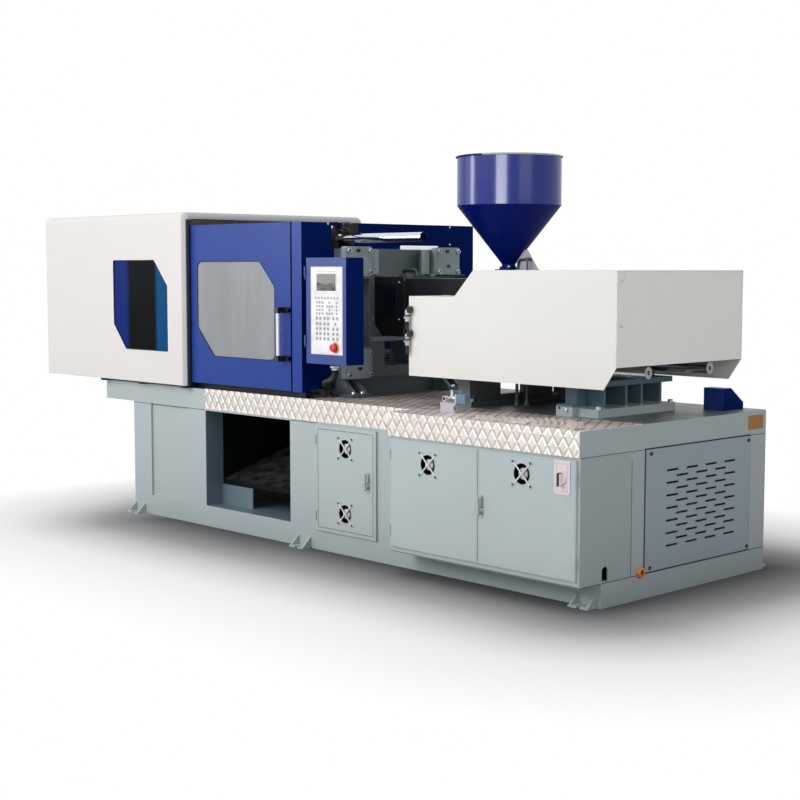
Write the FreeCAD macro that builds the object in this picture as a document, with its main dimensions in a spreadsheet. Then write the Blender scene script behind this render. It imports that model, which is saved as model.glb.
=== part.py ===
import FreeCAD, Part
import Sketcher
import math
import os

# A horizontal toggle-clamp injection moulding machine.
#
# X runs along the machine, from the clamp (-X) to the injection unit (+X).
# Y runs from the operator (-Y) to the rear, and Z is up.  The origin is on the
# floor, at the centre of the plinth's footprint.  Sizes are in millimetres.
# It is drawn with the mould space at its greatest mould height, the clamp
# closed, every door and guard shut and the injection carriage drawn back.

document = FreeCAD.newDocument("injection_moulding_machine")
sheet = document.addObject("Spreadsheet::Sheet", "Sizes")

DRIVING_SIZES = {
    # bed
    "bed_length": 3660, "bed_width": 1280, "deck_top": 798, "deck_bottom": 682,
    "deck_overhang": 315, "wall": 6, "seam": 1,
    # electrical cabinet
    "cabinet_length": 1198, "cabinet_depth": 150, "cabinet_floor": 114, "cabinet_reach": 210,
    "door_thick": 11, "fan_opening": 50, "fan_side": 120, "fan_screws": 105,
    # clamp
    "axis_height": 1255, "bar_radius": 40, "bar_pitch_across": 680, "bar_pitch_high": 554,
    "platen_face": -130, "platen_thick": 200, "mould_height": 400,
    "moving_thick": 190, "tail_face": -2100, "tail_thick": 160,
    "running_gap": 0.08, "pin_gap": 0.05,
    # toggle
    "rear_link": 285, "front_link": 681, "rear_pivot_high": 350, "front_pivot_high": 240,
    "pivot_reach": 120, "crosshead_pin_high": 60, "crosshead_link": 260, "lug_reach": 230,
    "link_plane": 120, "link_thick": 60,
    # guards
    "hood_left": -2770, "hood_right": -1200, "hood_half": 695, "hood_bottom": 812, "hood_top": 1818,
    "hood_sheet": 4, "gate_right": -294, "gate_length": 1250, "gate_face": -650, "gate_thick": 38,
    "gate_bottom": 834.5, "gate_top": 1741,
    # injection unit
    "cover_left": 455, "cover_right": 1780, "cover_half": 490, "cover_bottom": 952, "cover_top": 1486,
    "low_top": 1355, "cover_sheet": 4, "rod_half": 240, "rod_height": 1020, "rod_radius": 28,
    "barrel_radius": 55, "screw_radius": 24,
    # hopper
    "hopper_x": 688, "hopper_radius": 268, "hopper_top": 2058, "cone_top": 1815, "cone_bottom": 1516,
    "neck_radius": 35,
    # control box
    "box_left": -132, "box_right": 184, "box_bottom": 996, "box_top": 1550, "box_front": -664,
    "box_back": -555,
}


class Size(float):
    """A number in millimetres that remembers the sheet formula it came from."""

    def __new__(cls, number, formula):
        size = float.__new__(cls, number)
        size.formula = formula
        return size


def formula_of(number):
    return number.formula if isinstance(number, Size) else repr(float(number))


def joined(sign, compute):
    def left(self, other):
        return Size(compute(float(self), float(other)), f"({formula_of(self)} {sign} {formula_of(other)})")

    def right(self, other):
        return Size(compute(float(other), float(self)), f"({formula_of(other)} {sign} {formula_of(self)})")

    return left, right


Size.__add__, Size.__radd__ = joined("+", lambda a, b: a + b)
Size.__sub__, Size.__rsub__ = joined("-", lambda a, b: a - b)
Size.__mul__, Size.__rmul__ = joined("*", lambda a, b: a * b)
Size.__truediv__, Size.__rtruediv__ = joined("/", lambda a, b: a / b)
Size.__neg__ = lambda self: Size(-float(self), f"(0 - {self.formula})")


class Sizes:
    """The driving sizes by name, each bound to its cell of the sheet."""

    def __init__(self):
        for row, (alias, number) in enumerate(DRIVING_SIZES.items(), 1):
            sheet.set(f"A{row}", alias)
            sheet.set(f"B{row}", str(number))
            sheet.setAlias(f"B{row}", alias)
            setattr(self, alias, Size(number, f"Sizes.{alias}"))


S = Sizes()
document.recompute()

nodes = []


def bind(thing, **sizes):
    """Give properties their sizes, through the sheet where a size comes from it."""
    for name, number in sizes.items():
        name = name.replace("__", ".")
        if isinstance(number, Size):
            thing.setExpression(name, number.formula)
        else:
            setattr(thing, name, number)


def place(thing, x, y, z, turn=None):
    """Put a thing's own origin at a point, turned if a rotation is given."""
    thing.Placement = FreeCAD.Placement(
        FreeCAD.Vector(float(x), float(y), float(z)), turn or FreeCAD.Rotation())
    for axis, number in zip("xyz", (x, y, z)):
        if isinstance(number, Size):
            thing.setExpression(f"Placement.Base.{axis}", number.formula)
    return thing


def block(x, y, z, name="Block"):
    """A box between two limits along each axis."""
    thing = document.addObject("Part::Box", name)
    bind(thing, Length=x[1] - x[0], Width=y[1] - y[0], Height=z[1] - z[0])
    return place(thing, x[0], y[0], z[0])


TURNS = {
    "x": FreeCAD.Rotation(FreeCAD.Vector(0, 1, 0), 90),
    "y": FreeCAD.Rotation(FreeCAD.Vector(1, 0, 0), -90),
    "z": FreeCAD.Rotation(),
}


def start_of(axis, centre, low):
    point = list(centre)
    point.insert("xyz".index(axis), low)
    return point


def rod(axis, centre, radius, span, name="Rod"):
    """A cylinder along an axis; centre holds its other two coordinates."""
    thing = document.addObject("Part::Cylinder", name)
    bind(thing, Radius=radius, Height=span[1] - span[0])
    return place(thing, *start_of(axis, centre, span[0]), TURNS[axis])


def taper(axis, centre, radii, span, name="Taper"):
    """A cone along an axis, from the first radius to the second."""
    thing = document.addObject("Part::Cone", name)
    bind(thing, Radius1=radii[0], Radius2=radii[1], Height=span[1] - span[0])
    return place(thing, *start_of(axis, centre, span[0]), TURNS[axis])


def fused(*things, name="Joined"):
    if len(things) == 1:
        return things[0]
    whole = document.addObject("Part::MultiFuse", name)
    whole.Shapes = list(things)
    whole.Refine = True
    return whole


def cut(base, *tools, name="Cut"):
    part = document.addObject("Part::Cut", name)
    part.Base = base
    part.Tool = fused(*tools)
    part.Refine = True
    return part


def rounded(base, radius, chosen, name="Rounded"):
    """Fillet the edges whose middle point passes a test."""
    document.recompute()
    part = document.addObject("Part::Fillet", name)
    part.Base = base
    part.Edges = [
        (number, float(radius), float(radius))
        for number, edge in enumerate(base.Shape.Edges, 1)
        if chosen(edge.valueAt((edge.FirstParameter + edge.LastParameter) / 2), edge)]
    return part


PLANES = {"XY": "XY_Plane", "XZ": "XZ_Plane", "YZ": "YZ_Plane"}


def plane_of(body, plane):
    return next(f for f in body.Origin.OriginFeatures if f.Role == PLANES[plane])


def outline(body, plane, corners, offset=0):
    """A closed polygon whose corners keep their distances from the origin."""
    drawing = body.newObject("Sketcher::SketchObject", "Outline")
    drawing.AttachmentSupport = (plane_of(body, plane), [""])
    drawing.MapMode = "FlatFace"
    bind(drawing, AttachmentOffset__Base__z=offset) if isinstance(offset, Size) else setattr(
        drawing, "AttachmentOffset", FreeCAD.Placement(FreeCAD.Vector(0, 0, offset), FreeCAD.Rotation()))
    points = [FreeCAD.Vector(float(u), float(v), 0) for u, v in corners]
    for start, end in zip(points, points[1:] + points[:1]):
        drawing.addGeometry(Part.LineSegment(start, end))
    for line in range(len(points)):
        drawing.addConstraint(Sketcher.Constraint("Coincident", line, 2, (line + 1) % len(points), 1))
    for line, corner in enumerate(corners):
        for kind, number in zip(("DistanceX", "DistanceY"), corner):
            index = drawing.addConstraint(Sketcher.Constraint(kind, -1, 1, line, 1, float(number)))
            if isinstance(number, Size):
                drawing.setExpression(f"Constraints[{index}]", number.formula)
    return drawing


def prism(plane, corners, low, length, name="Prism"):
    """A body padded from a polygon, away from a plane and towards its positive side."""
    body = document.addObject("PartDesign::Body", name)
    towards = -1 if plane == "XZ" else 1
    offset = -(low + length) if towards < 0 else low
    drawing = outline(body, plane, corners, offset)
    pad = body.newObject("PartDesign::Pad", "Thickness")
    pad.Profile = drawing
    bind(pad, Length=length)
    return body


def turned(profile, x, y, z, name="Turned"):
    """A body of revolution about a vertical axis; the profile holds (radius, height) corners."""
    body = document.addObject("PartDesign::Body", name)
    drawing = outline(body, "XZ", profile)
    spin = body.newObject("PartDesign::Revolution", "Spin")
    spin.Profile = drawing
    spin.ReferenceAxis = (drawing, ["V_Axis"])
    spin.Angle = 360
    return place(body, x, y, z)


def finished(thing, label):
    """Mark a thing as a sub-part of the machine and give it its name."""
    thing.Label = label
    nodes.append(thing)
    return thing


def mirrored_pair(make):
    """The same piece on the operator's side (-1) and on the rear side (+1)."""
    return [make(side) for side in (-1, 1)]


def side_span(side, near, far):
    """A span across the machine, from near to far off the centre plane, on one side."""
    return (near, far) if side > 0 else (-far, -near)


HALF_LENGTH = S.bed_length / 2
HALF_WIDTH = S.bed_width / 2
CABINET_LEFT = HALF_LENGTH - S.cabinet_length
CABINET_FRONT = -HALF_WIDTH - S.cabinet_depth
CABINET_BACK = -HALF_WIDTH + S.cabinet_reach
CHUTE = (-1089, -318)
SERVICE = (-92, 380)


# ------------------------------------------------------------------ bed

def anchor_foot(x, side):
    """A floor bracket: a slotted plate between two triangular gussets."""
    face = HALF_WIDTH
    plate = block((x - 58, x + 58), side_span(side, face, face + 62), (0, 10), "FootPlate")
    slot = block((x - 9, x + 9), side_span(side, face + 26, face + 63), (-1, 11), "FootSlot")
    gussets = []
    for left in (x - 54, x + 44):
        wide = [(side * face, 10), (side * (face + 56), 10), (side * face, 62)]
        gussets.append(prism("YZ", wide, left, 10, "Gusset"))
    return fused(cut(plate, slot), *gussets)


def bed_frame():
    """The welded bed: plinth, deck with its clamp-end overhang, slideways and floor brackets."""
    plinth = block((-HALF_LENGTH, HALF_LENGTH), (-HALF_WIDTH, HALF_WIDTH), (0, S.deck_bottom), "Plinth")
    deck_corners = [
        (-HALF_LENGTH - S.deck_overhang, -HALF_WIDTH), (CABINET_LEFT, -HALF_WIDTH),
        (CABINET_LEFT, CABINET_FRONT - 5), (HALF_LENGTH, CABINET_FRONT - 5),
        (HALF_LENGTH, HALF_WIDTH + 10), (-HALF_LENGTH - S.deck_overhang, HALF_WIDTH + 10)]
    deck = rounded(
        prism("XY", deck_corners, S.deck_bottom, S.deck_top - S.deck_bottom, "Deck"), 14,
        lambda point, edge: abs(edge.Length - float(S.deck_top - S.deck_bottom)) < 1
        and (point.x < -float(HALF_LENGTH) - 1 or point.y > float(HALF_WIDTH)))
    slideways = mirrored_pair(lambda side: block(
        (-2140, -380), side_span(side, 290, 400), (S.deck_top, S.deck_top + 14), "Slideway"))
    feet = [anchor_foot(x, side) for x in (-1770, -200, 1750) for side in (-1, 1)]
    for_chute = block(CHUTE, (-HALF_WIDTH - 1, HALF_WIDTH + 1), (120, 675), "ChuteRoom")
    for_drop = block((-1060, -360), (-260, 260), (600, S.deck_top + 1), "DropHole")
    for_cabinet = block((CABINET_LEFT, HALF_LENGTH + 1), (-HALF_WIDTH - 1, CABINET_BACK),
                        (S.cabinet_floor, S.deck_bottom), "CabinetRoom")
    for_service = block((SERVICE[0] + 12, SERVICE[1] - 12), (-HALF_WIDTH - 1, -HALF_WIDTH + 330),
                        (122, 656), "ServiceRoom")
    for_air = block((1200, HALF_LENGTH + 1), (-316, 484), (135, 665), "AirRoom")
    for_front_panel = block((-1646, -1269), (-HALF_WIDTH - 1, -HALF_WIDTH + 12), (118, 677), "FrontRecess")
    rear_recesses = [
        block(span, (HALF_WIDTH - 8, HALF_WIDTH + 1), (118, 640), "RearRecess")
        for span in ((-1646, -1269), (-92, 700), (800, 1690))]
    skin = 10
    high = S.deck_top - 12
    hollows = [
        block((-HALF_LENGTH + skin, CHUTE[0] - 14), (-HALF_WIDTH + 24, HALF_WIDTH - 18), (20, high),
              "ClampEndHollow"),
        block((-2160, -HALF_LENGTH - skin), (-HALF_WIDTH + skin, HALF_WIDTH - skin),
              (S.deck_bottom + skin, high), "OverhangHollow"),
        block((CHUTE[1] + 14, CABINET_LEFT - skin), (-290, HALF_WIDTH - 18), (20, high), "MiddleHollow"),
        block((CABINET_LEFT, 1185), (CABINET_BACK + skin, HALF_WIDTH - 18), (20, high), "TankHollow"),
        block((1200, HALF_LENGTH - skin), (-316, 484), (690, high), "RearDeckHollow"),
        block((CABINET_LEFT + skin, HALF_LENGTH - skin), (CABINET_FRONT + skin, CABINET_BACK),
              (S.deck_bottom + skin, high), "CabinetDeckHollow")]
    body = cut(fused(plinth, deck, *slideways, *feet), for_chute, for_drop, for_cabinet,
               for_service, for_air, for_front_panel, *rear_recesses, *hollows)
    chute_stay = block((CHUTE[0], CHUTE[0] + 290), (-526, -520), (120, 236), "ChuteStay")
    return finished(fused(body, chute_stay), "bed_frame")


def tread_plate():
    """The aluminium tread plate: under the nozzle, and folded over the edges of deck and cabinet."""
    thick = 3
    front = -HALF_WIDTH - thick
    cabinet_front = CABINET_FRONT - 5 - thick
    inside = -360
    top = [
        (CHUTE[0], front), (CABINET_LEFT - thick, front), (CABINET_LEFT - thick, cabinet_front),
        (HALF_LENGTH, cabinet_front), (HALF_LENGTH, inside), (585, inside), (585, 340), (-15, 340),
        (-15, -450), (-185, -450),
        (-185, -HALF_WIDTH + 8), (CHUTE[0], -HALF_WIDTH + 8)]
    sheet_top = prism("XY", top, S.deck_top, thick, "TreadTop")
    low = S.deck_bottom + 2
    left = block((CHUTE[0], CABINET_LEFT - thick), (front, front + thick), (low, S.deck_top), "LeftFlange")
    jog = block((CABINET_LEFT - thick, CABINET_LEFT), (cabinet_front, front + thick),
                (low, S.deck_top), "SideFlange")
    right = block((CABINET_LEFT, HALF_LENGTH), (cabinet_front, cabinet_front + thick),
                  (low, S.deck_top), "RightFlange")
    return finished(fused(sheet_top, left, jog, right), "tread_plate")


def drop_chute():
    """A black sheet chute: a sloping floor between two cheeks, lying under the mould space."""
    thick = 4
    left, right = CHUTE[0] + 4, CHUTE[1] - 4
    floor = [(-519, 262), (-519, 266), (560, 600), (560, 596)]
    plate = prism("YZ", floor, left, right - left, "ChuteFloor")
    cheek = [(-519, 262), (560, 596), (560, 672), (-519, 672)]
    cheeks = [prism("YZ", cheek, x, thick, "Cheek") for x in (left, right - thick)]
    lip = block((left, right), (-519, -515), (240, 264), "ChuteLip")
    feet = [block((x, x + 30), (540, 556), (120, 592), "ChuteLeg") for x in (left, right - 30)]
    return finished(fused(plate, *cheeks, lip, *feet), "drop_chute")


def louvre_panel():
    """The bolted end panel, with thirteen staggered rows of cooling slots."""
    thick = 4
    low_y, high_y, low_z, high_z = -331, 499, 120, 680
    panel = block((HALF_LENGTH, HALF_LENGTH + thick), (low_y, high_y), (low_z, high_z), "Panel")
    slots = []
    pitch, row_pitch, length, high = 153.3, 29.2, 90, 10
    for row in range(13):
        count = 4 if row % 2 == 0 else 3
        for place_in_row in range(count):
            y = -131 + pitch * place_in_row + (0 if count == 4 else pitch / 2)
            z = 573 - row_pitch * row
            slots.append(block((HALF_LENGTH - 1, HALF_LENGTH + thick + 1), (y - length / 2, y + length / 2),
                               (z - high / 2, z + high / 2), "Slot"))
    heads = [
        rod("x", (y, z), 7, (HALF_LENGTH + thick, HALF_LENGTH + thick + 3), "Head")
        for y in (low_y + 35, high_y - 15) for z in (low_z + 16, high_z - 20)]
    return finished(fused(cut(panel, *slots), *heads), "louvre_panel")


# ------------------------------------------------------------------ electrical cabinet

def electrical_cabinet():
    """The cabinet shell, open at the front, with a round-topped cable slot in its end wall."""
    outer = block((CABINET_LEFT, HALF_LENGTH), (CABINET_FRONT, CABINET_BACK),
                  (S.cabinet_floor, S.deck_bottom), "CabinetShell")
    room = block((CABINET_LEFT + S.wall, HALF_LENGTH - S.wall),
                 (CABINET_FRONT + S.wall, CABINET_BACK - S.wall),
                 (S.cabinet_floor + S.wall, S.deck_bottom - S.wall), "CabinetInside")
    mouth = block((CABINET_LEFT + 25, HALF_LENGTH - 25), (CABINET_FRONT - 1, CABINET_FRONT + S.wall + 1),
                  (S.cabinet_floor + 30, S.deck_bottom - 20), "CabinetMouth")
    slot = block((HALF_LENGTH - S.wall - 1, HALF_LENGTH + 1), (-636, -594), (S.cabinet_floor - 1, 166),
                 "CableSlot")
    slot_top = rod("x", (-615, 166), 21, (HALF_LENGTH - S.wall - 1, HALF_LENGTH + 1), "SlotTop")
    return finished(cut(outer, room, mouth, slot, slot_top), "electrical_cabinet")


def switchgear_plate():
    """The mounting plate in the cabinet with its contactors, drive, breakers and terminal rail."""
    face = CABINET_BACK - S.wall
    plate = block((CABINET_LEFT + 50, HALF_LENGTH - 50), (face - 4, face), (160, 650), "MountingPlate")
    drive = block((720, 900), (face - 134, face - 4), (330, 610), "Drive")
    contactors = [block((x, x + 60), (face - 90, face - 4), (420, 520), "Contactor")
                  for x in (960, 1035, 1110, 1185, 1260)]
    breakers = [block((x, x + 34), (face - 76, face - 4), (545, 625), "Breaker")
                for x in (1000, 1040, 1080, 1120)]
    supply = block((1400, 1660), (face - 110, face - 4), (360, 600), "PowerSupply")
    terminals = block((720, 1700), (face - 50, face - 4), (230, 275), "Terminals")
    trunking = block((720, 1700), (face - 64, face - 4), (300, 325), "Trunking")
    return finished(fused(plate, drive, *contactors, *breakers, supply, terminals, trunking),
                    "switchgear_plate")


def fan_frame(x, z, back):
    """The fan's square frame behind a door, and its guard: two crossed bars with a screw at each end."""
    depth = 26
    half = S.fan_side / 2
    ring = cut(block((x - half, x + half), (back, back + depth), (z - half, z + half), "FanFrame"),
               rod("y", (x, z), S.fan_opening, (back - 1, back + depth + 1), "FanBore"))
    front = back - S.door_thick
    spread = float(S.fan_screws) / 2
    reach = spread * math.sqrt(2) + 6
    guard = []
    for angle in (45, -45):
        bar = document.addObject("Part::Box", "GuardBar")
        bind(bar, Length=2 * reach, Width=3, Height=8)
        turn = FreeCAD.Rotation(FreeCAD.Vector(0, 1, 0), angle)
        start = turn.multVec(FreeCAD.Vector(-reach, 0, -4))
        guard.append(place(bar, x + start.x, front - 2, z + start.z, turn))
    heads = [rod("y", (x + dx, z + dz), 6, (front - 5, front + 1), "GuardScrew")
             for dx in (-spread, spread) for dz in (-spread, spread)]
    return [ring, *guard, *heads]


def door(x, z, face, hinge_x, fans, extras, label):
    """A pressed door pan with its fans' openings and two hinge barrels on its outer edge."""
    back = face + S.door_thick
    skin = block(x, (face, back), z, "DoorPan")
    hollow = block((x[0] + 4, x[1] - 4), (face + 3, back + 1), (z[0] + 4, z[1] - 4), "DoorHollow")
    holes = [rod("y", (fx, fz), S.fan_opening, (face - 1, back + 1), "FanHole") for fx, fz in fans]
    stays = [piece for fx, fz in fans for piece in fan_frame(fx, fz, back)]
    half = S.fan_side / 2
    pads = [cut(block((fx - half, fx + half), (face + 3, back), (fz - half, fz + half), "FanPad"),
                rod("y", (fx, fz), S.fan_opening, (face, back + 1), "PadHole")) for fx, fz in fans]
    barrels = [rod("z", (hinge_x, face - 3), 5, (height - 25, height + 25), "HingeBarrel")
               for height in (z[0] + 80, z[1] - 80)]
    pan = cut(skin, hollow, *holes)
    return finished(fused(pan, *pads, *stays, *barrels, *extras), label)


CABINET_FACE = CABINET_FRONT - S.seam - S.door_thick
SERVICE_FACE = -HALF_WIDTH - S.seam - S.door_thick
DOOR_SPLIT = 1235
CABINET_FANS = ((909, 566), (1505, 584))
SERVICE_FANS = ((147, 561), (145, 219))
SERVICE_LOCK = (320, 385)
CABINET_LOCK = (1254, 390)
MAIN_SWITCH = (1739, 585)


def cabinet_doors():
    low, high = 142, S.deck_bottom - 10
    door((645, DOOR_SPLIT - 2), (low, high), CABINET_FACE, 647, CABINET_FANS[:1], [], "cabinet_door_left")
    escutcheon = block((1694, 1785), (CABINET_FACE - 3, CABINET_FACE), (517, 667), "SwitchPlate")
    lock_body = rod("y", CABINET_LOCK, 16, (CABINET_FACE - 6, CABINET_FACE + 12), "LockBody")
    door((DOOR_SPLIT + 2, 1816), (low, high), CABINET_FACE, 1814, CABINET_FANS[1:],
         [escutcheon, lock_body], "cabinet_door_right")
    lock_body = rod("y", SERVICE_LOCK, 16, (SERVICE_FACE - 6, SERVICE_FACE + 12), "LockBody")
    door((SERVICE[0], SERVICE[1]), (108, 671), SERVICE_FACE, SERVICE[0] + 2, SERVICE_FANS,
         [lock_body], "service_door")


def fan_rotor(x, z, face, label):
    """Seven pitched blades round a hub, turning in the fan's frame."""
    back = face + S.door_thick
    hub = rod("y", (x, z), 20, (back + 2, back + 22), "Hub")
    blades = []
    for number in range(7):
        blade = document.addObject("Part::Box", "Blade")
        bind(blade, Length=30, Width=2, Height=22)
        around = FreeCAD.Rotation(FreeCAD.Vector(0, 1, 0), 360 / 7 * number)
        pitched = around.multiply(FreeCAD.Rotation(FreeCAD.Vector(1, 0, 0), 50))
        middle = around.multVec(FreeCAD.Vector(17, 0, 0))
        centre = pitched.multVec(FreeCAD.Vector(0, -1, -11))
        blades.append(place(blade, x + middle.x + centre.x, back + 12 + centre.y,
                            z + middle.z + centre.z, pitched))
    return finished(fused(hub, *blades), label)


def lock_handle(centre, face, label):
    """A quarter-turn lock: a boss, an upright grip and a short thumb wing."""
    x, z = centre
    boss = rod("y", centre, 14, (face - 18, face - 6.3), "Boss")
    grip = rounded(block((x - 9, x + 9), (face - 27, face - 15), (z - 24, z + 64), "Grip"), 8,
                   lambda point, edge: abs(edge.Length - 12) < 0.1)
    wing = block((x - 24, x - 5), (face - 21, face - 15), (z - 20, z - 4), "ThumbWing")
    return finished(fused(boss, grip, wing), label)


def main_switch():
    """The main switch: a round knob with a bar across it."""
    x, z = MAIN_SWITCH
    knob = rod("y", MAIN_SWITCH, 24, (CABINET_FACE - 14, CABINET_FACE - 3.3), "Knob")
    bar = rounded(block((x - 9, x + 9), (CABINET_FACE - 30, CABINET_FACE - 13), (z - 30, z + 30), "KnobBar"),
                  8,
                  lambda point, edge: abs(edge.Length - 17) < 0.1)
    return finished(fused(knob, bar), "main_switch")


# ------------------------------------------------------------------ clamp

BAR_Y = S.bar_pitch_across / 2
BAR_LOW = S.axis_height - S.bar_pitch_high / 2
BAR_HIGH = S.axis_height + S.bar_pitch_high / 2
BAR_CENTRES = [(y, z) for y in (-BAR_Y, BAR_Y) for z in (BAR_LOW, BAR_HIGH)]
MOULD_SIDE = S.platen_face - S.platen_thick
MOVING_FACE = MOULD_SIDE - S.mould_height
MOVING_BACK = MOVING_FACE - S.moving_thick


GUARD_HINGE = (232, 1452)


def bar_bores(span, gap):
    return [rod("x", centre, S.bar_radius + gap, span, "BarBore") for centre in BAR_CENTRES]


def fixed_platen():
    """The fixed platen casting: ribbed back, nozzle cone, four bar plates, and gusseted feet."""
    low, high, half = 898, 1600, 430
    face, mould = S.platen_face, MOULD_SIDE
    slab = block((mould, face), (-half, half), (low, high), "PlatenSlab")
    pockets = [
        block((face - 60, face + 1), (-230, 230), (1462, high + 1), "TopPocket"),
        block((face - 110, face + 1), (-half - 1, -232), (1072, 1438), "NearPocket"),
        block((face - 110, face + 1), (232, half + 1), (1072, 1438), "FarPocket"),
        block((mould - 1, face + 1), (-116, 116), (958, 1091), "LowOpening")]
    cone = taper("x", (0, S.axis_height), (85, 170), (mould + 30, face + 0.5), "NozzleCone")
    ring_bore = rod("x", (0, S.axis_height), 62.5, (mould - 1, mould + 31), "RingBore")
    ledge = block((face - 5, face + 30), (-225, 225), (1097, 1120), "Ledge")
    plates = []
    for y, z in BAR_CENTRES:
        plates.append(rounded(block((face, face + 40), (y - 95, y + 95), (z - 80, z + 80), "BarPlate"), 14,
                              lambda point, edge: edge.Length < 45 and abs(point.x - float(face) - 20) < 1))
        plates += [rod("x", (y + dy, z + dz), 13, (face + 40, face + 52), "PlateBolt")
                   for dy in (-76, 76) for dz in (-58, 58)]
    feet = []
    for side in (-1, 1):
        feet.append(block((mould - 40, face + 90), side_span(side, 300, half), (S.deck_top, S.deck_top + 22),
                          "FootPlate"))
        web = [(mould + 20, S.deck_top + 22), (face + 80, S.deck_top + 22), (face - 10, low),
               (mould + 20, low)]
        for across in (312, 392):
            span = side_span(side, across, across + 24)
            feet.append(prism("XZ", web, span[0], 24, "FootWeb"))
    feet.append(block((mould + 40, face - 40), (-318, 318), (S.deck_top, low + 1), "FootBridge"))
    ribs = mirrored_pair(lambda side: rod("z", (face - 6, side * 194), 30, (1461, high - 2), "RoundRib"))
    lug = fused(block((face - 4, face + 24), (222, 241), (1439, 1461), "HingeLug"),
                rod("x", GUARD_HINGE, 5, (face + 24, face + 100), "HingePin"))
    casting = cut(fused(slab, ledge), *pockets, cone, ring_bore, *bar_bores((mould - 1, face), 0.5))
    return finished(fused(casting, *plates, *feet, *ribs, lug), "fixed_platen")


def tie_bars():
    """Four ground bars from the fixed platen, through the moving platen, to the tail platen."""
    return finished(fused(*[rod("x", centre, S.bar_radius, (-2470, S.platen_face), "TieBar")
                            for centre in BAR_CENTRES]), "tie_bars")


def moving_platen():
    """The moving platen: slab with corner bar sleeves, shoes on the slideways and toggle ears."""
    low, high, half = 905, 1605, 425
    slab = block((MOVING_BACK, MOVING_FACE), (-half, half), (low, high), "MovingSlab")
    shoes = mirrored_pair(lambda side: block(
        (MOVING_BACK - 40, MOVING_FACE), side_span(side, 295, 395), (S.deck_top + 14.5, low), "Shoe"))
    sleeves = [rod("x", centre, S.bar_radius + 24, (MOVING_BACK - 60, MOVING_BACK), "Sleeve")
               for centre in BAR_CENTRES]
    ears = []
    pivot = TAIL_PIVOT_X + CLOSED_REACH
    for side in (-1, 1):
        for high_pivot in (S.axis_height + S.front_pivot_high, S.axis_height - S.front_pivot_high):
            for near, far in ((S.link_plane, S.link_plane + S.link_thick), (246, 276)):
                span = side_span(side, near, far)
                ears.append(block((pivot, MOVING_BACK), span, (high_pivot - 48, high_pivot + 48), "EarRoot"))
                ears.append(rod("y", (pivot, high_pivot), 48, span, "Ear"))
            ears.append(rod("y", (pivot, high_pivot), 26, side_span(side, S.link_plane, 276), "EarPin"))
    ejector_bore = rod("x", (0, S.axis_height), 30 + S.running_gap, (MOVING_BACK - 1, MOVING_FACE + 1),
                       "EjectorBore")
    ejector_room = block((MOVING_BACK - 1, MOVING_BACK + 90), (-90, 90),
                         (S.axis_height - 120, S.axis_height + 120), "EjectorRoom")
    casting = cut(fused(slab, *shoes, *sleeves), ejector_bore, ejector_room,
                  *bar_bores((MOVING_BACK - 61, MOVING_FACE + 1), S.running_gap))
    return finished(fused(casting, *ears), "moving_platen")


def safety_bar():
    """The mechanical safety bar: a bright tube carried by a bracket on the moving platen."""
    centre = (-340, 1655)
    tube = cut(rod("x", centre, 25, (-900, 404), "SafetyTube"), rod("x", centre, 18, (300, 405), "TubeBore"))
    bracket = block((-890, -830), (-380, -300), (1605, 1630.2), "BarBracket")
    clip = cut(block((-890, -830), (-380, -300), (1630, 1690), "BarClip"),
               rod("x", centre, 25, (-891, -829), "ClipBore"))
    return finished(fused(tube, bracket, clip), "safety_bar")


def safety_latch():
    """The drop latch over the safety bar, and its pivot between two cheeks."""
    pivot = (-250, 1722)
    arm = block((-165, -120), (-362, -318), (1686, 1712), "LatchTongue")
    lever = block((-262, -120), (-362, -318), (1708, 1736), "LatchLever")
    pin = rod("y", pivot, 9, (-390, -290), "LatchPin")
    return finished(fused(arm, lever, pin), "safety_latch")


def latch_bracket():
    """The latch's housing on top of the fixed platen."""
    base = block((-320, -150), (-394, -286), (1600, 1612), "LatchBase")
    cheeks = [block((-275, -225), span, (1612, 1745), "LatchCheek") for span in ((-392, -368), (-312, -288))]
    bores = rod("y", (-250, 1722), 9 + S.pin_gap, (-393, -287), "LatchBore")
    guide = cut(block((-320, -285), (-390, -290), (1612, 1700), "BarGuide"),
                rod("x", (-340, 1655), 25.5, (-321, -284), "GuideBore"))
    return finished(fused(base, cut(fused(*cheeks), bores), guide), "latch_bracket")


def ejector_plate():
    """The ejector: a yoke behind the moving platen with its rod through the centre."""
    yoke = block((MOVING_BACK + 8, MOVING_BACK + 34), (-80, 80), (S.axis_height - 110, S.axis_height + 110),
                 "EjectorYoke")
    bar = rod("x", (0, S.axis_height), 30, (MOVING_BACK + 34, MOVING_FACE - 10), "EjectorRod")
    return finished(fused(yoke, bar), "ejector_plate")


def tail_platen():
    """The tail platen: slab with feet, bar nuts, toggle ears and their pins."""
    low, high, half = 850, 1670, 420
    face, back = S.tail_face, S.tail_face - S.tail_thick
    slab = block((back, face), (-half, half), (low, high), "TailSlab")
    feet = mirrored_pair(lambda side: block(
        (back, face + 60), side_span(side, 295, 395), (S.deck_top + 14.5, low), "TailFoot"))
    nuts = [rod("x", centre, 74, (back - 60, back), "BarNut") for centre in BAR_CENTRES]
    hub = rod("x", (0, S.axis_height), 34, (back - 1, face + 1), "RodBore")
    ears = []
    for side in (-1, 1):
        for high_pivot in (S.axis_height + S.rear_pivot_high, S.axis_height - S.rear_pivot_high):
            for near, far in ((84, 117), (183, 216)):
                span = side_span(side, near, far)
                ears.append(block((face, TAIL_PIVOT_X), span, (high_pivot - 48, high_pivot + 48), "EarRoot"))
                ears.append(rod("y", (TAIL_PIVOT_X, high_pivot), 48, span, "Ear"))
            ears.append(rod("y", (TAIL_PIVOT_X, high_pivot), 26, side_span(side, 84, 216), "EarPin"))
    casting = cut(fused(slab, *feet, *nuts), hub,
                  *bar_bores((back - 61, face + 1), S.running_gap))
    return finished(fused(casting, *ears), "tail_platen")


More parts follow.
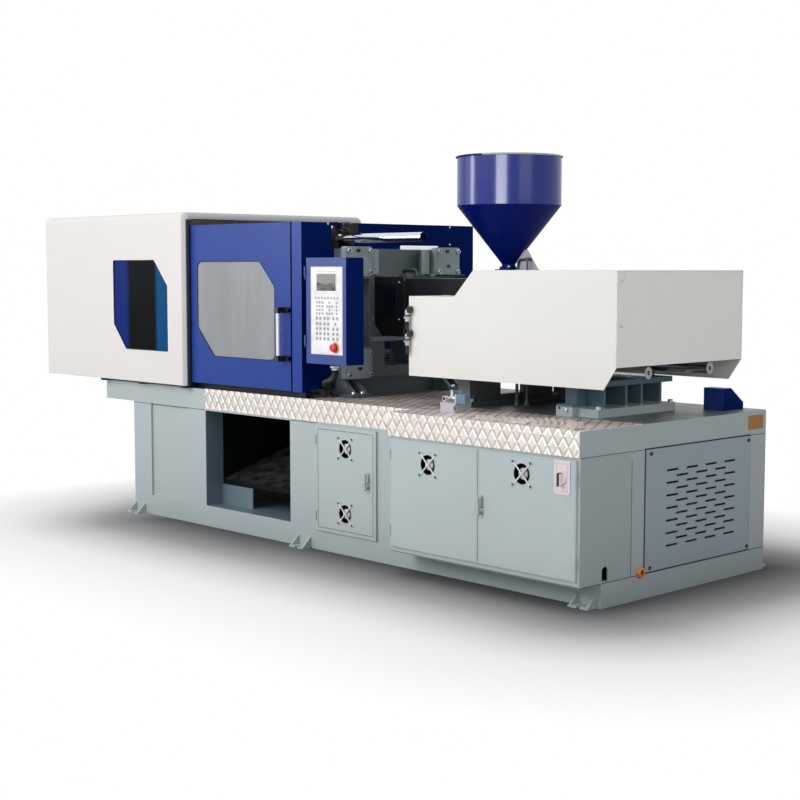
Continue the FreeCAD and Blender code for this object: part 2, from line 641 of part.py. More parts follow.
def clamp_cylinder():
    """The clamp cylinder on the back of the tail platen: barrel, flange, end caps and ports."""
    back = S.tail_face - S.tail_thick
    end = back - 470
    centre = (0, S.axis_height)
    barrel = rod("x", centre, 100, (end, back), "ClampBarrel")
    flange = block((back - 36, back), (-140, 140), (S.axis_height - 140, S.axis_height + 140), "ClampFlange")
    cap = rod("x", centre, 116, (end, end + 40), "ClampCap")
    ports = [rod("z", (x, 0), 22, (S.axis_height + 90, S.axis_height + 128), "ClampPort")
             for x in (back - 70, end + 70)]
    room = rod("x", centre, 82, (end + 30, back - 26), "ClampRoom")
    rod_bore = rod("x", centre, 30 + S.running_gap, (back - 27, back + 1), "ClampRodBore")
    return finished(cut(fused(barrel, flange, cap, *ports), room, rod_bore), "clamp_cylinder")


# Toggle geometry, taken in the plane of the links.  In the closed clamp each
# pair of links lies on the line between its two fixed pivots; in the open clamp
# the rear link stands just past upright, so the knees come close to the centre.
DROP = float(S.rear_pivot_high - S.front_pivot_high)
LINKS = float(S.rear_link + S.front_link)
CLOSED_TILT = math.asin(DROP / LINKS)
CLOSED_REACH = math.sqrt(LINKS ** 2 - DROP ** 2)
TAIL_PIVOT_X = S.tail_face + S.pivot_reach
LUG_TILT = CLOSED_TILT + math.radians(10)
LUG_X = float(S.lug_reach) * math.cos(LUG_TILT)
LUG_Z = float(S.rear_pivot_high) - float(S.lug_reach) * math.sin(LUG_TILT)
CROSSHEAD_X = LUG_X + math.sqrt(float(S.crosshead_link) ** 2 - (LUG_Z - float(S.crosshead_pin_high)) ** 2)


def link_between(start, end, radius, span, bores):
    """A link plate: two round eyes joined by a waisted bar, with its pin bores."""
    length = math.hypot(end[0] - start[0], end[1] - start[1])
    tilt = math.degrees(math.atan2(end[1] - start[1], end[0] - start[0]))
    eyes = [rod("y", point, radius, span, "Eye") for point in (start, end)]
    bar = document.addObject("Part::Box", "LinkBar")
    half = radius * 0.72
    bind(bar, Length=length, Width=span[1] - span[0], Height=2 * half)
    turn = FreeCAD.Rotation(FreeCAD.Vector(0, 1, 0), -tilt)
    corner = turn.multVec(FreeCAD.Vector(0, 0, -half))
    place(bar, start[0] + corner.x, span[0], start[1] + corner.z, turn)
    holes = [rod("y", point, bore, (span[0] - 1, span[1] + 1), "PinBore") for point, bore in bores]
    return cut(fused(bar, *eyes), *holes)


def toggle_side(up):
    """The moving links of the upper (+1) or lower (-1) half of the double toggle."""
    def at(x, high):
        return (float(TAIL_PIVOT_X) + x, float(S.axis_height) + up * high)

    name = "upper" if up > 0 else "lower"
    root = at(0, float(S.rear_pivot_high))
    tip = at(CLOSED_REACH, float(S.front_pivot_high))
    share = float(S.rear_link) / LINKS
    knee = (root[0] + (tip[0] - root[0]) * share, root[1] + (tip[1] - root[1]) * share)
    lug = at(LUG_X, LUG_Z)
    pin = at(CROSSHEAD_X, float(S.crosshead_pin_high))
    rear, front, cross = [], [], []
    for side in (-1, 1):
        middle = side_span(side, S.link_plane + 0.5, S.link_plane + S.link_thick - 0.5)
        outer = side_span(side, 184, 242)
        inner = side_span(side, 84, 116)
        rear.append(link_between(root, knee, 45, middle, [(root, 26 + S.pin_gap)]))
        rear.append(rod("y", lug, 30, middle, "LugBoss"))
        front.append(link_between(knee, tip, 45, outer, [(knee, 22), (tip, 26 + S.pin_gap)]))
        cross.append(link_between(pin, lug, 28, inner, [(pin, 16 + S.pin_gap), (lug, 15)]))
    finished(fused(*rear), f"rear_links_{name}")
    finished(fused(*front), f"front_links_{name}")
    finished(fused(*cross), f"crosshead_links_{name}")


def crosshead():
    """The crosshead block with its four link pins, and the piston rod behind it."""
    x = TAIL_PIVOT_X + CROSSHEAD_X
    centre = (0, S.axis_height)
    body = rounded(block((x - 42, x + 42), (-80, 80), (S.axis_height - 92, S.axis_height + 92), "Crosshead"),
                   16, lambda point, edge: edge.Length > 150 and edge.Length < 170)
    pins = [rod("y", (x, S.axis_height + up * S.crosshead_pin_high), 16, (-117, 117), "CrossPin")
            for up in (-1, 1)]
    back = S.tail_face - S.tail_thick
    piston_rod = rod("x", centre, 30, (back - 70, x - 42), "PistonRod")
    piston = rod("x", centre, 81, (back - 100, back - 70), "Piston")
    return finished(fused(body, *pins, piston_rod, piston), "crosshead")


# ------------------------------------------------------------------ guards

SILL_TOP = 834


def gate_post():
    """The portal at the fixed platen: two posts and a cross sheet, which is open round the platen."""
    top = S.gate_top - 1
    sheet = (-194, -190)
    through = (-195, -189)
    posts = [block((-270, -190), (-660, -600), (SILL_TOP, top), "FrontPost"),
             block((-270, -190), (600, 652), (SILL_TOP, top), "RearPost")]
    cross = block(sheet, (-602, 602), (846, top), "CrossSheet")
    gaps = [block(through, (-432, 432), (845, 1603), "PlatenGap"),
            block(through, (-450, -282), (1602, 1722), "BarGap"),
            block(through, (-374, -306), (1721, 1742), "LatchGap")]
    return finished(fused(*posts, cut(cross, *gaps)), "gate_post")


def gate_rails():
    """On each side the gate's sill on the deck, the post's foot and the rail that the gate hangs on."""
    hood_inside = S.hood_left + S.hood_sheet
    sill_left = -HALF_LENGTH - S.deck_overhang + 20
    rail_top = S.gate_top - 6.5
    pieces = []
    for side in (-1, 1):
        pieces.append(block((sill_left, -190), side_span(side, 584, 608), (S.deck_top, SILL_TOP), "Sill"))
        pieces.append(block((-266, -194), side_span(side, 607, 632), (S.deck_top, SILL_TOP), "PostFoot"))
        pieces.append(block((hood_inside, -194), side_span(side, 588, 600), (rail_top - 29, rail_top),
                            "Rail"))
    return finished(fused(*pieces), "gate_rails")


def gate_hangers(lefts, skin, reach, top):
    """Hooked plates over a hanging rail: skin and reach are the gate's and the hook's positions across."""
    low_y, high_y = sorted((skin, reach), key=float)
    hook = (high_y - 4, high_y) if float(reach) > float(skin) else (low_y, low_y + 4)
    pieces = []
    for left in lefts:
        pieces.append(block((left, left + 100), (low_y, high_y), (top - 4, top), "HangerPlate"))
        pieces.append(block((left, left + 100), hook, (top - 34, top), "HangerHook"))
    return pieces


HOOD_WINDOW = [(-1951, 1542), (-1513, 1542), (-1378, 1390), (-1378, 1006), (-1820, 1006), (-1951, 1155)]
GATE_WINDOW = [(-1142, 1534), (-562, 1534), (-430, 1395), (-430, 993), (-984, 993), (-1142, 1155)]


def grown(corners, by):
    """A polygon's corners moved outwards from its middle."""
    middle_x = sum(x for x, _ in corners) / len(corners)
    middle_z = sum(z for _, z in corners) / len(corners)
    return [(x + math.copysign(by, x - middle_x), z + math.copysign(by, z - middle_z)) for x, z in corners]


def window_hole(corners, low_y):
    """A six-sided hole with rounded corners, through a front sheet whose face is at low_y."""
    depth = 10
    return rounded(prism("XZ", corners, low_y - 1, depth, "WindowHole"), 14,
                   lambda point, edge: abs(edge.Length - depth) < 0.01)


def hood():
    """The clamp hood: a sheet box with rounded edges all round, open towards the gate, with a window."""
    x = (S.hood_left, S.hood_right)
    y = (-S.hood_half, S.hood_half)
    z = (S.hood_bottom, S.hood_top)
    t = S.hood_sheet
    radius = 38

    def rounded_box(inset, bend):
        """The hood's form, a sheet's thickness inside the outer one or none, open or not at the floor."""
        ends = (float(x[0] + inset), float(x[1] - inset))
        half, top = float(y[1] - inset), float(z[1] - inset)

        def bent(point, edge):
            on_top = abs(point.z - top) < 1
            on_end = min(abs(point.x - end) for end in ends) < 1
            on_side = abs(abs(point.y) - half) < 1
            return on_top + on_end + on_side == 2

        low = z[0] - 1 if inset else z[0]
        return rounded(block(ends, (-half, half), (low, top), "HoodForm"), bend, bent)

    outer = rounded_box(0, radius)
    inner = rounded_box(t, radius - t)
    mouth = rounded(block((x[1] - t - 2, x[1] + 1), (y[0] + radius + 2, y[1] - radius - 2),
                          (z[0] - 1, z[1] - radius - 2), "HoodMouth"), 20,
                    lambda point, edge: abs(point.z - float(z[1]) + radius + 2) < 1 and edge.Length < 8)
    window = window_hole(HOOD_WINDOW, y[0])
    brackets = []
    for side in (-1, 1):
        for left in (-2120, -1700, -1260):
            brackets.append(block((left, left + 40), side_span(side, 609, S.hood_half - t),
                                  (S.deck_top, 828), "HoodBracket"))
    shell = cut(outer, inner, mouth, window)
    return finished(fused(shell, *brackets), "hood")


def hood_window():
    """The clear pane bonded behind the hood's window."""
    return finished(prism("XZ", grown(HOOD_WINDOW, 16), -S.hood_half + S.hood_sheet, 3, "Pane"),
                    "hood_window")


def front_gate():
    """The operator's sliding gate: a folded pan with a six-sided window, hung on hooked plates."""
    x = (S.gate_right - S.gate_length, S.gate_right)
    y = (S.gate_face, S.gate_face + S.gate_thick)
    z = (S.gate_bottom, S.gate_top)
    pan = block(x, y, z, "GatePan")
    hollow = block((x[0] + 4, x[1] - 4), (y[0] + 4, y[1] + 1), (z[0] + 4, z[1] - 4), "GateHollow")
    hangers = gate_hangers((-1500, -430), y[1] - 1, -578, S.gate_top)
    return finished(fused(cut(pan, hollow, window_hole(GATE_WINDOW, y[0])), *hangers), "front_gate")


def front_gate_window():
    """The gate's clear pane, bonded behind its window."""
    return finished(prism("XZ", grown(GATE_WINDOW, 16), S.gate_face + 4, 4, "Pane"), "front_gate_window")


def gate_handle():
    """The gate's bow handle: two stand-offs and a round grip."""
    x, y = -347, S.gate_face - 46
    grip = rod("z", (x, y), 11, (1025, 1256), "Grip")
    mounts = []
    for z in (1010, 1271):
        mounts.append(block((x - 16, x + 16), (y - 14, S.gate_face), (z - 15, z + 15), "GripMount"))
        mounts.append(rod("y", (x + 40, z), 14, (S.gate_face - 18, S.gate_face), "GripBoss"))
        mounts.append(block((x + 10, x + 40), (S.gate_face - 14, S.gate_face), (z - 9, z + 9), "GripFoot"))
    return finished(fused(grip, *mounts), "gate_handle")


def rear_gate():
    """The rear sliding gate: a folded pan hung on hooked plates, with a bow handle of flat bar."""
    x = (S.gate_right - S.gate_length, S.gate_right)
    y = (-S.gate_face - S.gate_thick, -S.gate_face)
    z = (S.gate_bottom, S.gate_top)
    pan = block(x, y, z, "GatePan")
    hollow = block((x[0] + 4, x[1] - 4), (y[0] - 1, y[1] - 4), (z[0] + 4, z[1] - 4), "GateHollow")
    hangers = gate_hangers((-1500, -430), y[0] + 1, 578, S.gate_top)
    grip = [block((-362, -332), (y[1] - 1, 690), (low, low + 26), "GripEnd") for low in (1080, 1250)]
    bar = block((-362, -332), (678, 690), (1080, 1276), "GripBar")
    return finished(fused(cut(pan, hollow), *hangers, *grip, bar), "rear_gate")


def purge_guard():
    """The purge guard over the nozzle: a front wall and a top that lift about the far edge."""
    left, right = S.platen_face + 56, 150
    top = block((left, right), (-240, 226), (1447, 1450), "GuardTop")
    front = block((left, right), (-240, -237), (1130, 1447), "GuardFront")
    corner = 60
    trim = prism("XZ", [(left - 1, 1129), (left + corner, 1129), (left - 1, 1130 + corner)], -241, 6,
                 "GuardTrim")
    window = block((-72, 98), (-241, -236), (1232, 1408), "GuardWindow")
    pane = block((-78, 104), (-237, -234), (1226, 1414), "GuardPane")
    handle = [rod("x", (-110, 1482), 6, (8, 132), "GuardGrip"),
              *[rod("z", (place_x, -110), 5, (1449, 1482), "GripLeg") for place_x in (20, 120)]]
    barrel = rod("x", GUARD_HINGE, 8, (left, right), "GuardBarrel")
    bore = rod("x", GUARD_HINGE, 5 + S.pin_gap, (left - 1, right + 1), "GuardBore")
    return finished(fused(cut(fused(top, front, barrel), trim, window, bore), pane, *handle), "purge_guard")


# ------------------------------------------------------------------ control

CONDUIT_ROUTE = [
    (9, -596, 984), (9, -596, 920), (-150, -545, 880), (-166, -492, 860), (-166, -492, 801.1)]


def control_box():
    """The operator's control box: a sheet box, open at the front, on an arm from the gate post."""
    outer = block((S.box_left, S.box_right), (S.box_front, S.box_back), (S.box_bottom, S.box_top), "BoxShell")
    room = block((S.box_left + 3, S.box_right - 3), (S.box_front - 1, S.box_back - 3),
                 (S.box_bottom + 3, S.box_top - 3), "BoxRoom")
    boards = block((S.box_left + 20, S.box_right - 20), (S.box_back - 23, S.box_back - 3),
                   (S.box_bottom + 60, S.box_top - 60), "Boards")
    arm = block((-190, S.box_left), (-606, -556), (1150, 1380), "BoxArm")
    gland = rod("z", CONDUIT_ROUTE[0][:2], 26, (S.box_bottom - 12, S.box_bottom), "ConduitGland")
    pins = [rod("z", (S.box_left - 6, S.box_front - 14), 3, (height - 34, height - 1), "BoxHingePin")
            for height in (1110, 1470)]
    leaves = [block((S.box_left - 9, S.box_left), (S.box_front - 17, S.box_front + 20),
                    (height - 34, height - 22), "BoxHingeLeaf") for height in (1110, 1470)]
    leaf_gap = block((S.box_left - 2, S.box_left + 1), (S.box_front - 18, S.box_front - 0.5), (1070, 1450),
                     "LeafGap")
    leaves = [cut(leaf, leaf_gap) for leaf in leaves]
    return finished(fused(cut(outer, room), boards, arm, gland, *pins, *leaves), "control_box")


CONTROL_FACE = -676


def control_door():
    """The control box's door with its keypad plate."""
    pan = block((S.box_left, S.box_right), (CONTROL_FACE, S.box_front - 1), (S.box_bottom, S.box_top),
                "ControlPan")
    hollow = block((S.box_left + 4, S.box_right - 4), (CONTROL_FACE + 3, S.box_front),
                   (S.box_bottom + 4, S.box_top - 4), "ControlHollow")
    keypad = block((-104, 147), (CONTROL_FACE - 1.5, CONTROL_FACE), (1046, 1503), "Keypad")
    button_hole = rod("y", (103, 1086), 11 + S.running_gap, (CONTROL_FACE - 5, S.box_front), "ButtonHole")
    collar = rod("y", (103, 1086), 22, (CONTROL_FACE - 4, CONTROL_FACE - 1.5), "ButtonCollar")
    barrels = [cut(rod("z", (S.box_left - 6, S.box_front - 14), 7, (height - 20, height + 34),
                       "ControlBarrel"),
                   rod("z", (S.box_left - 6, S.box_front - 14), 3 + S.pin_gap, (height - 21, height),
                       "BarrelBore"))
               for height in (1110, 1470)]
    return finished(fused(cut(fused(pan, keypad, collar), hollow, button_hole), *barrels), "control_door")


def emergency_stop():
    """The mushroom emergency stop: a domed head on a stem that is pushed in."""
    stem = rod("y", (103, 1086), 11, (CONTROL_FACE - 18, CONTROL_FACE + 8), "StopStem")
    head = rounded(rod("y", (103, 1086), 20, (CONTROL_FACE - 30, CONTROL_FACE - 14), "StopHead"), 6,
                   lambda point, edge: abs(point.y - float(CONTROL_FACE) + 30) < 1)
    return finished(fused(stem, head), "emergency_stop")


def conduit():
    """The corrugated conduit from the control box down to the deck, as its plain outer tube."""
    radius = 20
    points = [FreeCAD.Vector(*point) for point in CONDUIT_ROUTE]
    edges, start = [], points[0]
    for before, corner, after in zip(points, points[1:], points[2:]):
        into, out = (corner - before), (after - corner)
        turn = into.getAngle(out)
        reach = min(0.45 * min(into.Length, out.Length), 200)
        into.normalize()
        out.normalize()
        enter, leave = corner - into * reach, corner + out * reach
        bisector = (out - into).normalize()
        bend = reach / math.tan(turn / 2)
        middle = corner + bisector * (math.hypot(reach, bend) - bend)
        edges.append(Part.LineSegment(start, enter).toShape())
        edges.append(Part.Arc(enter, middle, leave).toShape())
        start = leave
        print(f"conduit bend radius {bend:.1f}")
    edges.append(Part.LineSegment(start, points[-1]).toShape())
    path = Part.Wire(edges)
    section = Part.Wire([Part.makeCircle(radius, points[0], points[1] - points[0])])
    tube = path.makePipeShell([section], True, True)
    ratio = tube.Volume / (math.pi * radius ** 2 * path.Length)
    print(f"conduit length {path.Length:.1f}, volume against section times length {ratio:.4f}")
    thing = document.addObject("Part::Feature", "Conduit")
    thing.Shape = tube
    return finished(thing, "conduit")


def terminal_box():
    """The blue box at the deck's rear corner, with its sloping top edge."""
    side = [(427, S.deck_top), (597, S.deck_top), (597, 832), (489, 908), (427, 908)]
    return finished(prism("YZ", side, 1608, 117, "TerminalBox"), "terminal_box")


# ------------------------------------------------------------------ injection unit

def injection_base():
    """The injection unit's front bridge on the deck: pad, wall, rod towers, rear wall, studs, lubricator."""
    top = S.deck_top
    pad = block((590, 750), (-340, 340), (top, top + 29), "BridgePad")
    wall = block((690, 720), (-320, 320), (top + 29, 930), "BridgeWall")
    posts = mirrored_pair(lambda side: block((674, 719), side_span(side, 300, 320), (top + 29, 1000),
                                             "BridgePost"))
    towers = mirrored_pair(lambda side: block((620, 719), side_span(side, 190, 300), (top + 29, 1062),
                                              "Tower"))
    sockets = mirrored_pair(lambda side: rod("x", (side * S.rod_half, S.rod_height), S.rod_radius,
                                             (619, 720), "Socket"))
    bosses = mirrored_pair(lambda side: rod("x", (side * 285, 850), 13, (719, 729), "BridgeBoss"))
    window = block((689, 721), (-90, 90), (850, 931), "BridgeWindow")
    tray_wall = block((719, 1334), (326, 330), (top, 905), "TrayWall")
    studs = []
    for x, y in ((822, -79), (857, -42)):
        studs.append(rod("z", (x, y), 8, (top, 950), "Stud"))
        studs.append(rod("z", (x, y), 15, (top, top + 22), "StudNut"))
    bridge = cut(fused(pad, wall, *posts, *towers, *bosses), *sockets, window)
    return finished(fused(bridge, tray_wall, *studs, lubricator()), "injection_base")


def lubricator():
    """The small fluid block on the tread plate: knob, tube, body and two upright caps."""
    return fused(
        block((790, 888), (-600, -545), (801, 846), "FluidBlock"),
        rod("y", (833, 866), 13, (-618, -596), "FluidKnob"),
        rod("y", (833, 866), 8, (-597, -572), "KnobStem"),
        rod("x", (-572, 866), 11, (826, 885), "FluidTube"),
        block((880, 948), (-592, -552), (845, 889), "FluidBody"),
        rod("z", (845, -572), 9, (870, 906), "FluidCap"),
        rod("z", (901, -572), 9, (888, 906), "BodyCap"),
        rod("y", (886, 822), 10, (-610, -599), "FluidBolt"))


def rear_support():
    """The rear bridge that holds the guide rods, with its levelling block."""
    top = S.deck_top
    pad = block((1290, 1530), (-300, 300), (top, top + 40), "SupportPad")
    posts = mirrored_pair(lambda side: block((1330, 1400), side_span(side, 230, 300), (top + 40, 1062),
                                             "Post"))
    web = block((1350, 1380), (-230, 230), (top + 40, 960), "SupportWeb")
    ribs = [block((1380, 1500), (y, y + 16), (top + 40, 940), "SupportRib") for y in (-226, -60, 60, 210)]
    cap = block((1330, 1510), (-300, 300), (940, 966), "SupportCap")
    sockets = mirrored_pair(lambda side: rod("x", (side * S.rod_half, S.rod_height), S.rod_radius,
                                             (1329, 1401), "Socket"))
    lifting = block((1302, 1402), (-334, -300), (top, 854), "LevelBlock")
    return finished(fused(cut(fused(pad, *posts, web, *ribs, cap), *sockets), lifting), "rear_support")


def guide_rods():
    """The two hollow-ended rods that the injection carriage slides on."""
    rods = []
    for side in (-1, 1):
        centre = (side * S.rod_half, S.rod_height)
        rods.append(cut(rod("x", centre, S.rod_radius, (600, 1770), "GuideRod"),
                        rod("x", centre, 10, (1740, 1771), "RodEnd")))
    return finished(fused(*rods), "guide_rods")


def injection_housing():
    """The carriage casting: bearings on the rods, feed block round the barrel, thrust housing."""
    bearing = mirrored_pair(lambda side: block((1016, 1230), side_span(side, 185, 295), (966.5, 1074),
                                               "Bearing"))
    base = block((1010, 1230), (-185, 185), (1010, 1074), "CarriageBase")
    feed = block((600, 765), (-110, 110), (1145, 1354), "FeedBlock")
    keel = block((560, 1010), (-70, 70), (1010, 1060), "Keel")
    stay = block((640, 740), (-60, 60), (1060, 1145), "FeedStay")
    pillar = block((1010, 1090), (-140, 140), (1074, 1390), "ThrustPillar")
    cylinders = mirrored_pair(lambda side: rod("x", (side * 170, S.axis_height), 46, (780, 1230),
                                               "InjectCylinder"))
    yokes = mirrored_pair(lambda side: block((780, 830), side_span(side, 60, 216), (1200, 1310),
                                             "CylinderYoke"))
    rod_bores = mirrored_pair(lambda side: rod("x", (side * S.rod_half, S.rod_height), S.rod_radius + 0.08,
                                               (1009, 1231), "RodBore"))
    barrel_seat = rod("x", (0, S.axis_height), S.barrel_radius, (559, 781), "BarrelSeat")
    screw_room = rod("x", (0, S.axis_height), 46, (1009, 1091), "ScrewRoom")
    throat = rod("z", (S.hopper_x, 0), S.neck_radius, (S.axis_height, 1355), "Throat")
    ram_rooms = mirrored_pair(lambda side: rod("x", (side * 170, S.axis_height), 22 + S.running_gap,
                                               (985, 1231), "RamRoom"))
    body = cut(fused(*bearing, base, feed, keel, stay, pillar, *cylinders, *yokes),
               *rod_bores, barrel_seat, screw_room, throat, *ram_rooms)
    return finished(body, "injection_housing")


def barrel():
    """The plasticising barrel with its head and nozzle, its bore and its feed mouth."""
    centre = (0, S.axis_height)
    tube = rod("x", centre, S.barrel_radius, (0, 880), "Barrel")
    head = rod("x", centre, 50, (-25, 0), "BarrelHead")
    nozzle = fused(rod("x", centre, 24, (-55, -25), "NozzleBody"),
                   taper("x", centre, (9, 24), (-75, -55), "NozzleTip"))
    bore = rod("x", centre, S.screw_radius + S.running_gap, (10, 881), "ScrewBore")
    melt_cone = taper("x", centre, (3, S.screw_radius + S.running_gap), (-20, 10), "MeltCone")
    melt_way = rod("x", centre, 3, (-76, -19), "MeltWay")
    mouth = rod("z", (S.hopper_x, 0), 28, (S.axis_height, S.axis_height + 60), "FeedMouth")
    return finished(cut(fused(tube, head, nozzle), bore, melt_cone, melt_way, mouth), "barrel")


def heater_bands():
    """Six band heaters clamped round the barrel."""
    bands = []
    for number in range(6):
        left = 25 + number * 90
        band = fused(rod("x", (0, S.axis_height), S.barrel_radius + 14, (left, left + 72), "Band"),
                     block((left + 20, left + 50), (-14, 14), (S.axis_height + 60, S.axis_height + 90),
                           "Clip"))
        bands.append(cut(band, rod("x", (0, S.axis_height), S.barrel_radius + 0.2, (left - 1, left + 73),
                                   "Inside")))
    return finished(fused(*bands), "heater_bands")


def screw():
    """The reciprocating screw: shank, flight core, ring valve and conical tip."""
    centre = (0, S.axis_height)
    core = rod("x", centre, 17, (60, 735), "ScrewCore")
    lands = [rod("x", centre, S.screw_radius, (70 + 48 * number, 79 + 48 * number), "Flight")
             for number in range(14)]
    shank = rod("x", centre, S.screw_radius, (735, 1150), "Shank")
    ring = rod("x", centre, 22, (40, 60), "RingValve")
    tip = taper("x", centre, (2, 20), (12, 40), "ScrewTip")
    return finished(fused(core, *lands, shank, ring, tip), "screw")


def thrust_plate():
    """The injection crossplate with its two rams, carrying the screw's hydraulic motor."""
    plate = block((1240, 1300), (-225, 225), (1185, 1325), "Crossplate")
    rams = mirrored_pair(lambda side: rod("x", (side * 170, S.axis_height), 22, (995, 1240), "Ram"))
    neck = rod("x", (0, S.axis_height), 44, (1100, 1240), "BearingNeck")
    motor = fused(rod("x", (0, S.axis_height), 95, (1300, 1400), "MotorFlange"),
                  rod("x", (0, S.axis_height), 78, (1400, 1560), "MotorBody"),
                  block((1440, 1520), (-50, 50), (S.axis_height + 60, S.axis_height + 110), "MotorPort"))
    bore = rod("x", (0, S.axis_height), S.screw_radius + 0.08, (1099, 1160), "ShankBore")
    return finished(cut(fused(plate, *rams, neck, motor), bore), "thrust_plate")


COVER_SLOPE = ((774, 1355), (902, 1486))


def injection_cover():
    """The white sheet cover: side panels, roof, slope and the slotted low roof over the barrel."""
    t = S.cover_sheet
    outer = [
        (S.cover_left, S.cover_bottom), (S.cover_right - 71, S.cover_bottom),
        (S.cover_right, S.cover_bottom + 102),
        (S.cover_right, S.cover_top), (COVER_SLOPE[1][0], S.cover_top), (COVER_SLOPE[0][0], S.low_top),
        (S.cover_left, S.low_top)]
    inner = [
        (S.cover_left - 5, S.cover_bottom - 5), (S.cover_right + 5, S.cover_bottom - 5),
        (S.cover_right + 5, S.cover_top - t), (COVER_SLOPE[1][0] + 1.7, S.cover_top - t),
        (COVER_SLOPE[0][0] + 1.7, S.low_top - t), (S.cover_left - 5, S.low_top - t)]
    half = S.cover_half
    shell = cut(prism("XZ", outer, -half, 2 * half, "CoverOuter"),
                prism("XZ", inner, -half + t, 2 * half - 2 * t, "CoverInner"),
                block((S.cover_left - 1, 770), (-252, 252), (S.low_top - 10, S.low_top + 1), "RoofSlot"))
    front = mirrored_pair(lambda side: block((S.cover_left, S.cover_left + 4), side_span(side, 252, half - t),
                                             (S.cover_bottom + 60, S.low_top - t), "CoverFront"))
    stays = []
    for side in (-1, 1):
        stays.append(block((1100, 1140), side_span(side, 295, half - t), (1000, 1040), "CoverStay"))
    return finished(fused(shell, *front, *stays), "injection_cover")


def cover_end_plate():
    """The cover's bolted end plate."""
    t = S.cover_sheet
    half = S.cover_half - t
    plate = block((S.cover_right - 8, S.cover_right - 4), (-half, half),
                  (S.cover_bottom + 102, S.cover_top - t),
                  "EndPlate")
    heads = [rod("x", (y, z), 7, (S.cover_right - 4, S.cover_right - 1), "Head")
             for y in (-428, 462) for z in (1088, 1270, 1466)]
    flanges = mirrored_pair(lambda side: block(
        (S.cover_right - 28, S.cover_right - 8), side_span(side, half - 3, half),
        (S.cover_bottom + 102, S.cover_top - t), "EndFlange"))
    return finished(fused(plate, *heads, *flanges), "cover_end_plate")


def barrel_shield():
    """The black sheet shield over the barrel, which the purge guard reaches over."""
    half, top, thick = 230, 1441, 3
    outer = block((155, 600), (-half, half), (1150, top), "ShieldOuter")
    inner = block((154, 601), (-half + thick, half - thick), (1149, top - thick), "ShieldInner")
    roof = block((600, 770), (-half, half), (1358, top), "ShieldRoof")
    roof_inner = block((599, 771), (-half + thick, half - thick), (1357, top - thick), "ShieldRoofInner")
    neck_hole = block((S.hopper_x - 56, S.hopper_x + 56), (-56, 56), (1400, top + 1), "NeckHole")
    back = block((767, 770), (-half + 1, half - 1), (1358, top - 1), "ShieldBack")
    lap = mirrored_pair(lambda side: block((600, 770), side_span(side, half - 1, 260), (1355, 1359),
                                           "ShieldFlange"))
    return finished(fused(cut(fused(outer, roof), inner, roof_inner, neck_hole), back, *lap), "barrel_shield")


HOPPER_SEAT = 1502


def hopper():
    """The spun hopper: rolled rim, cylinder, cone and outlet neck, as one thin shell."""
    wall = 3
    r, neck = S.hopper_radius, S.neck_radius
    profile = [
        (neck, HOPPER_SEAT), (neck, S.cone_bottom), (r, S.cone_top), (r, S.hopper_top), (r + 6, S.hopper_top),
        (r + 6, S.hopper_top + 8), (r - wall, S.hopper_top + 8), (r - wall, S.cone_top + 2),
        (neck - wall, S.cone_bottom + 2), (neck - wall, HOPPER_SEAT)]
    flange = turned([(neck - wall, HOPPER_SEAT - 12), (48, HOPPER_SEAT - 12), (48, HOPPER_SEAT),
                     (neck - wall, HOPPER_SEAT)], S.hopper_x, 0, 0, "HopperFlange")
    return finished(fused(turned(profile, S.hopper_x, 0, 0, "HopperShell"), flange), "hopper")


def hopper_base():
    """The cast block under the hopper with the gate's slideway and a stiffening bracket."""
    x = S.hopper_x
    body = block((x - 50, x + 50), (-50, 50), (1354, HOPPER_SEAT - 12), "HopperBlock")
    bore = rod("z", (x, 0), S.neck_radius - 3, (1353, HOPPER_SEAT), "HopperBore")
    slideway = block((x - 51, x + 51), (-36.5, 36.5), (1455.5, 1465.5), "GateSlot")
    arm = block((x + 49, x + 200), (-14, 14), (1478, 1489), "BracketArm")
    bracket = prism("XZ", [(x + 60, 1488), (x + 200, 1488), (x + 128, 1588), (x + 112, 1588), (x + 60, 1530)],
                    -4, 8, "Bracket")
    return finished(fused(cut(body, bore, slideway), arm, bracket), "hopper_base")


def hopper_slide():
    """The hopper's shut-off slide with its upright handle."""
    x = S.hopper_x
    plate = cut(block((x - 34, x + 165), (-36, 36), (1456, 1465), "SlidePlate"),
                rod("z", (x, 0), S.neck_radius - 3, (1455, 1466), "SlideHole"))
    handle = fused(rod("z", (x + 152, -26), 5, (1465, 1532), "SlideStem"),
                   rod("z", (x + 152, -26), 9, (1532, 1550), "SlideKnob"))
    return finished(fused(plate, handle), "hopper_slide")


# ------------------------------------------------------------------ the whole machine

bed_frame()
tread_plate()
drop_chute()
louvre_panel()
electrical_cabinet()
switchgear_plate()
cabinet_doors()
for index, (fan_x, fan_z) in enumerate(SERVICE_FANS + CABINET_FANS, 1):
    fan_rotor(fan_x, fan_z, SERVICE_FACE if index < 3 else CABINET_FACE, f"fan_rotor_{index}")
lock_handle(SERVICE_LOCK, SERVICE_FACE, "service_lock")
lock_handle(CABINET_LOCK, CABINET_FACE, "cabinet_lock")
main_switch()
fixed_platen()
tie_bars()
latch_bracket()
safety_latch()
moving_platen()
safety_bar()
ejector_plate()
tail_platen()
clamp_cylinder()
toggle_side(1)
toggle_side(-1)
crosshead()
gate_post()
gate_rails()
hood()
hood_window()
front_gate()
front_gate_window()
gate_handle()
rear_gate()
purge_guard()
control_box()
control_door()
emergency_stop()
conduit()
terminal_box()
injection_base()
rear_support()
guide_rods()
injection_housing()
barrel()
heater_bands()
screw()
thrust_plate()
injection_cover()
cover_end_plate()
barrel_shield()
hopper()
hopper_base()
hopper_slide()

document.recompute()

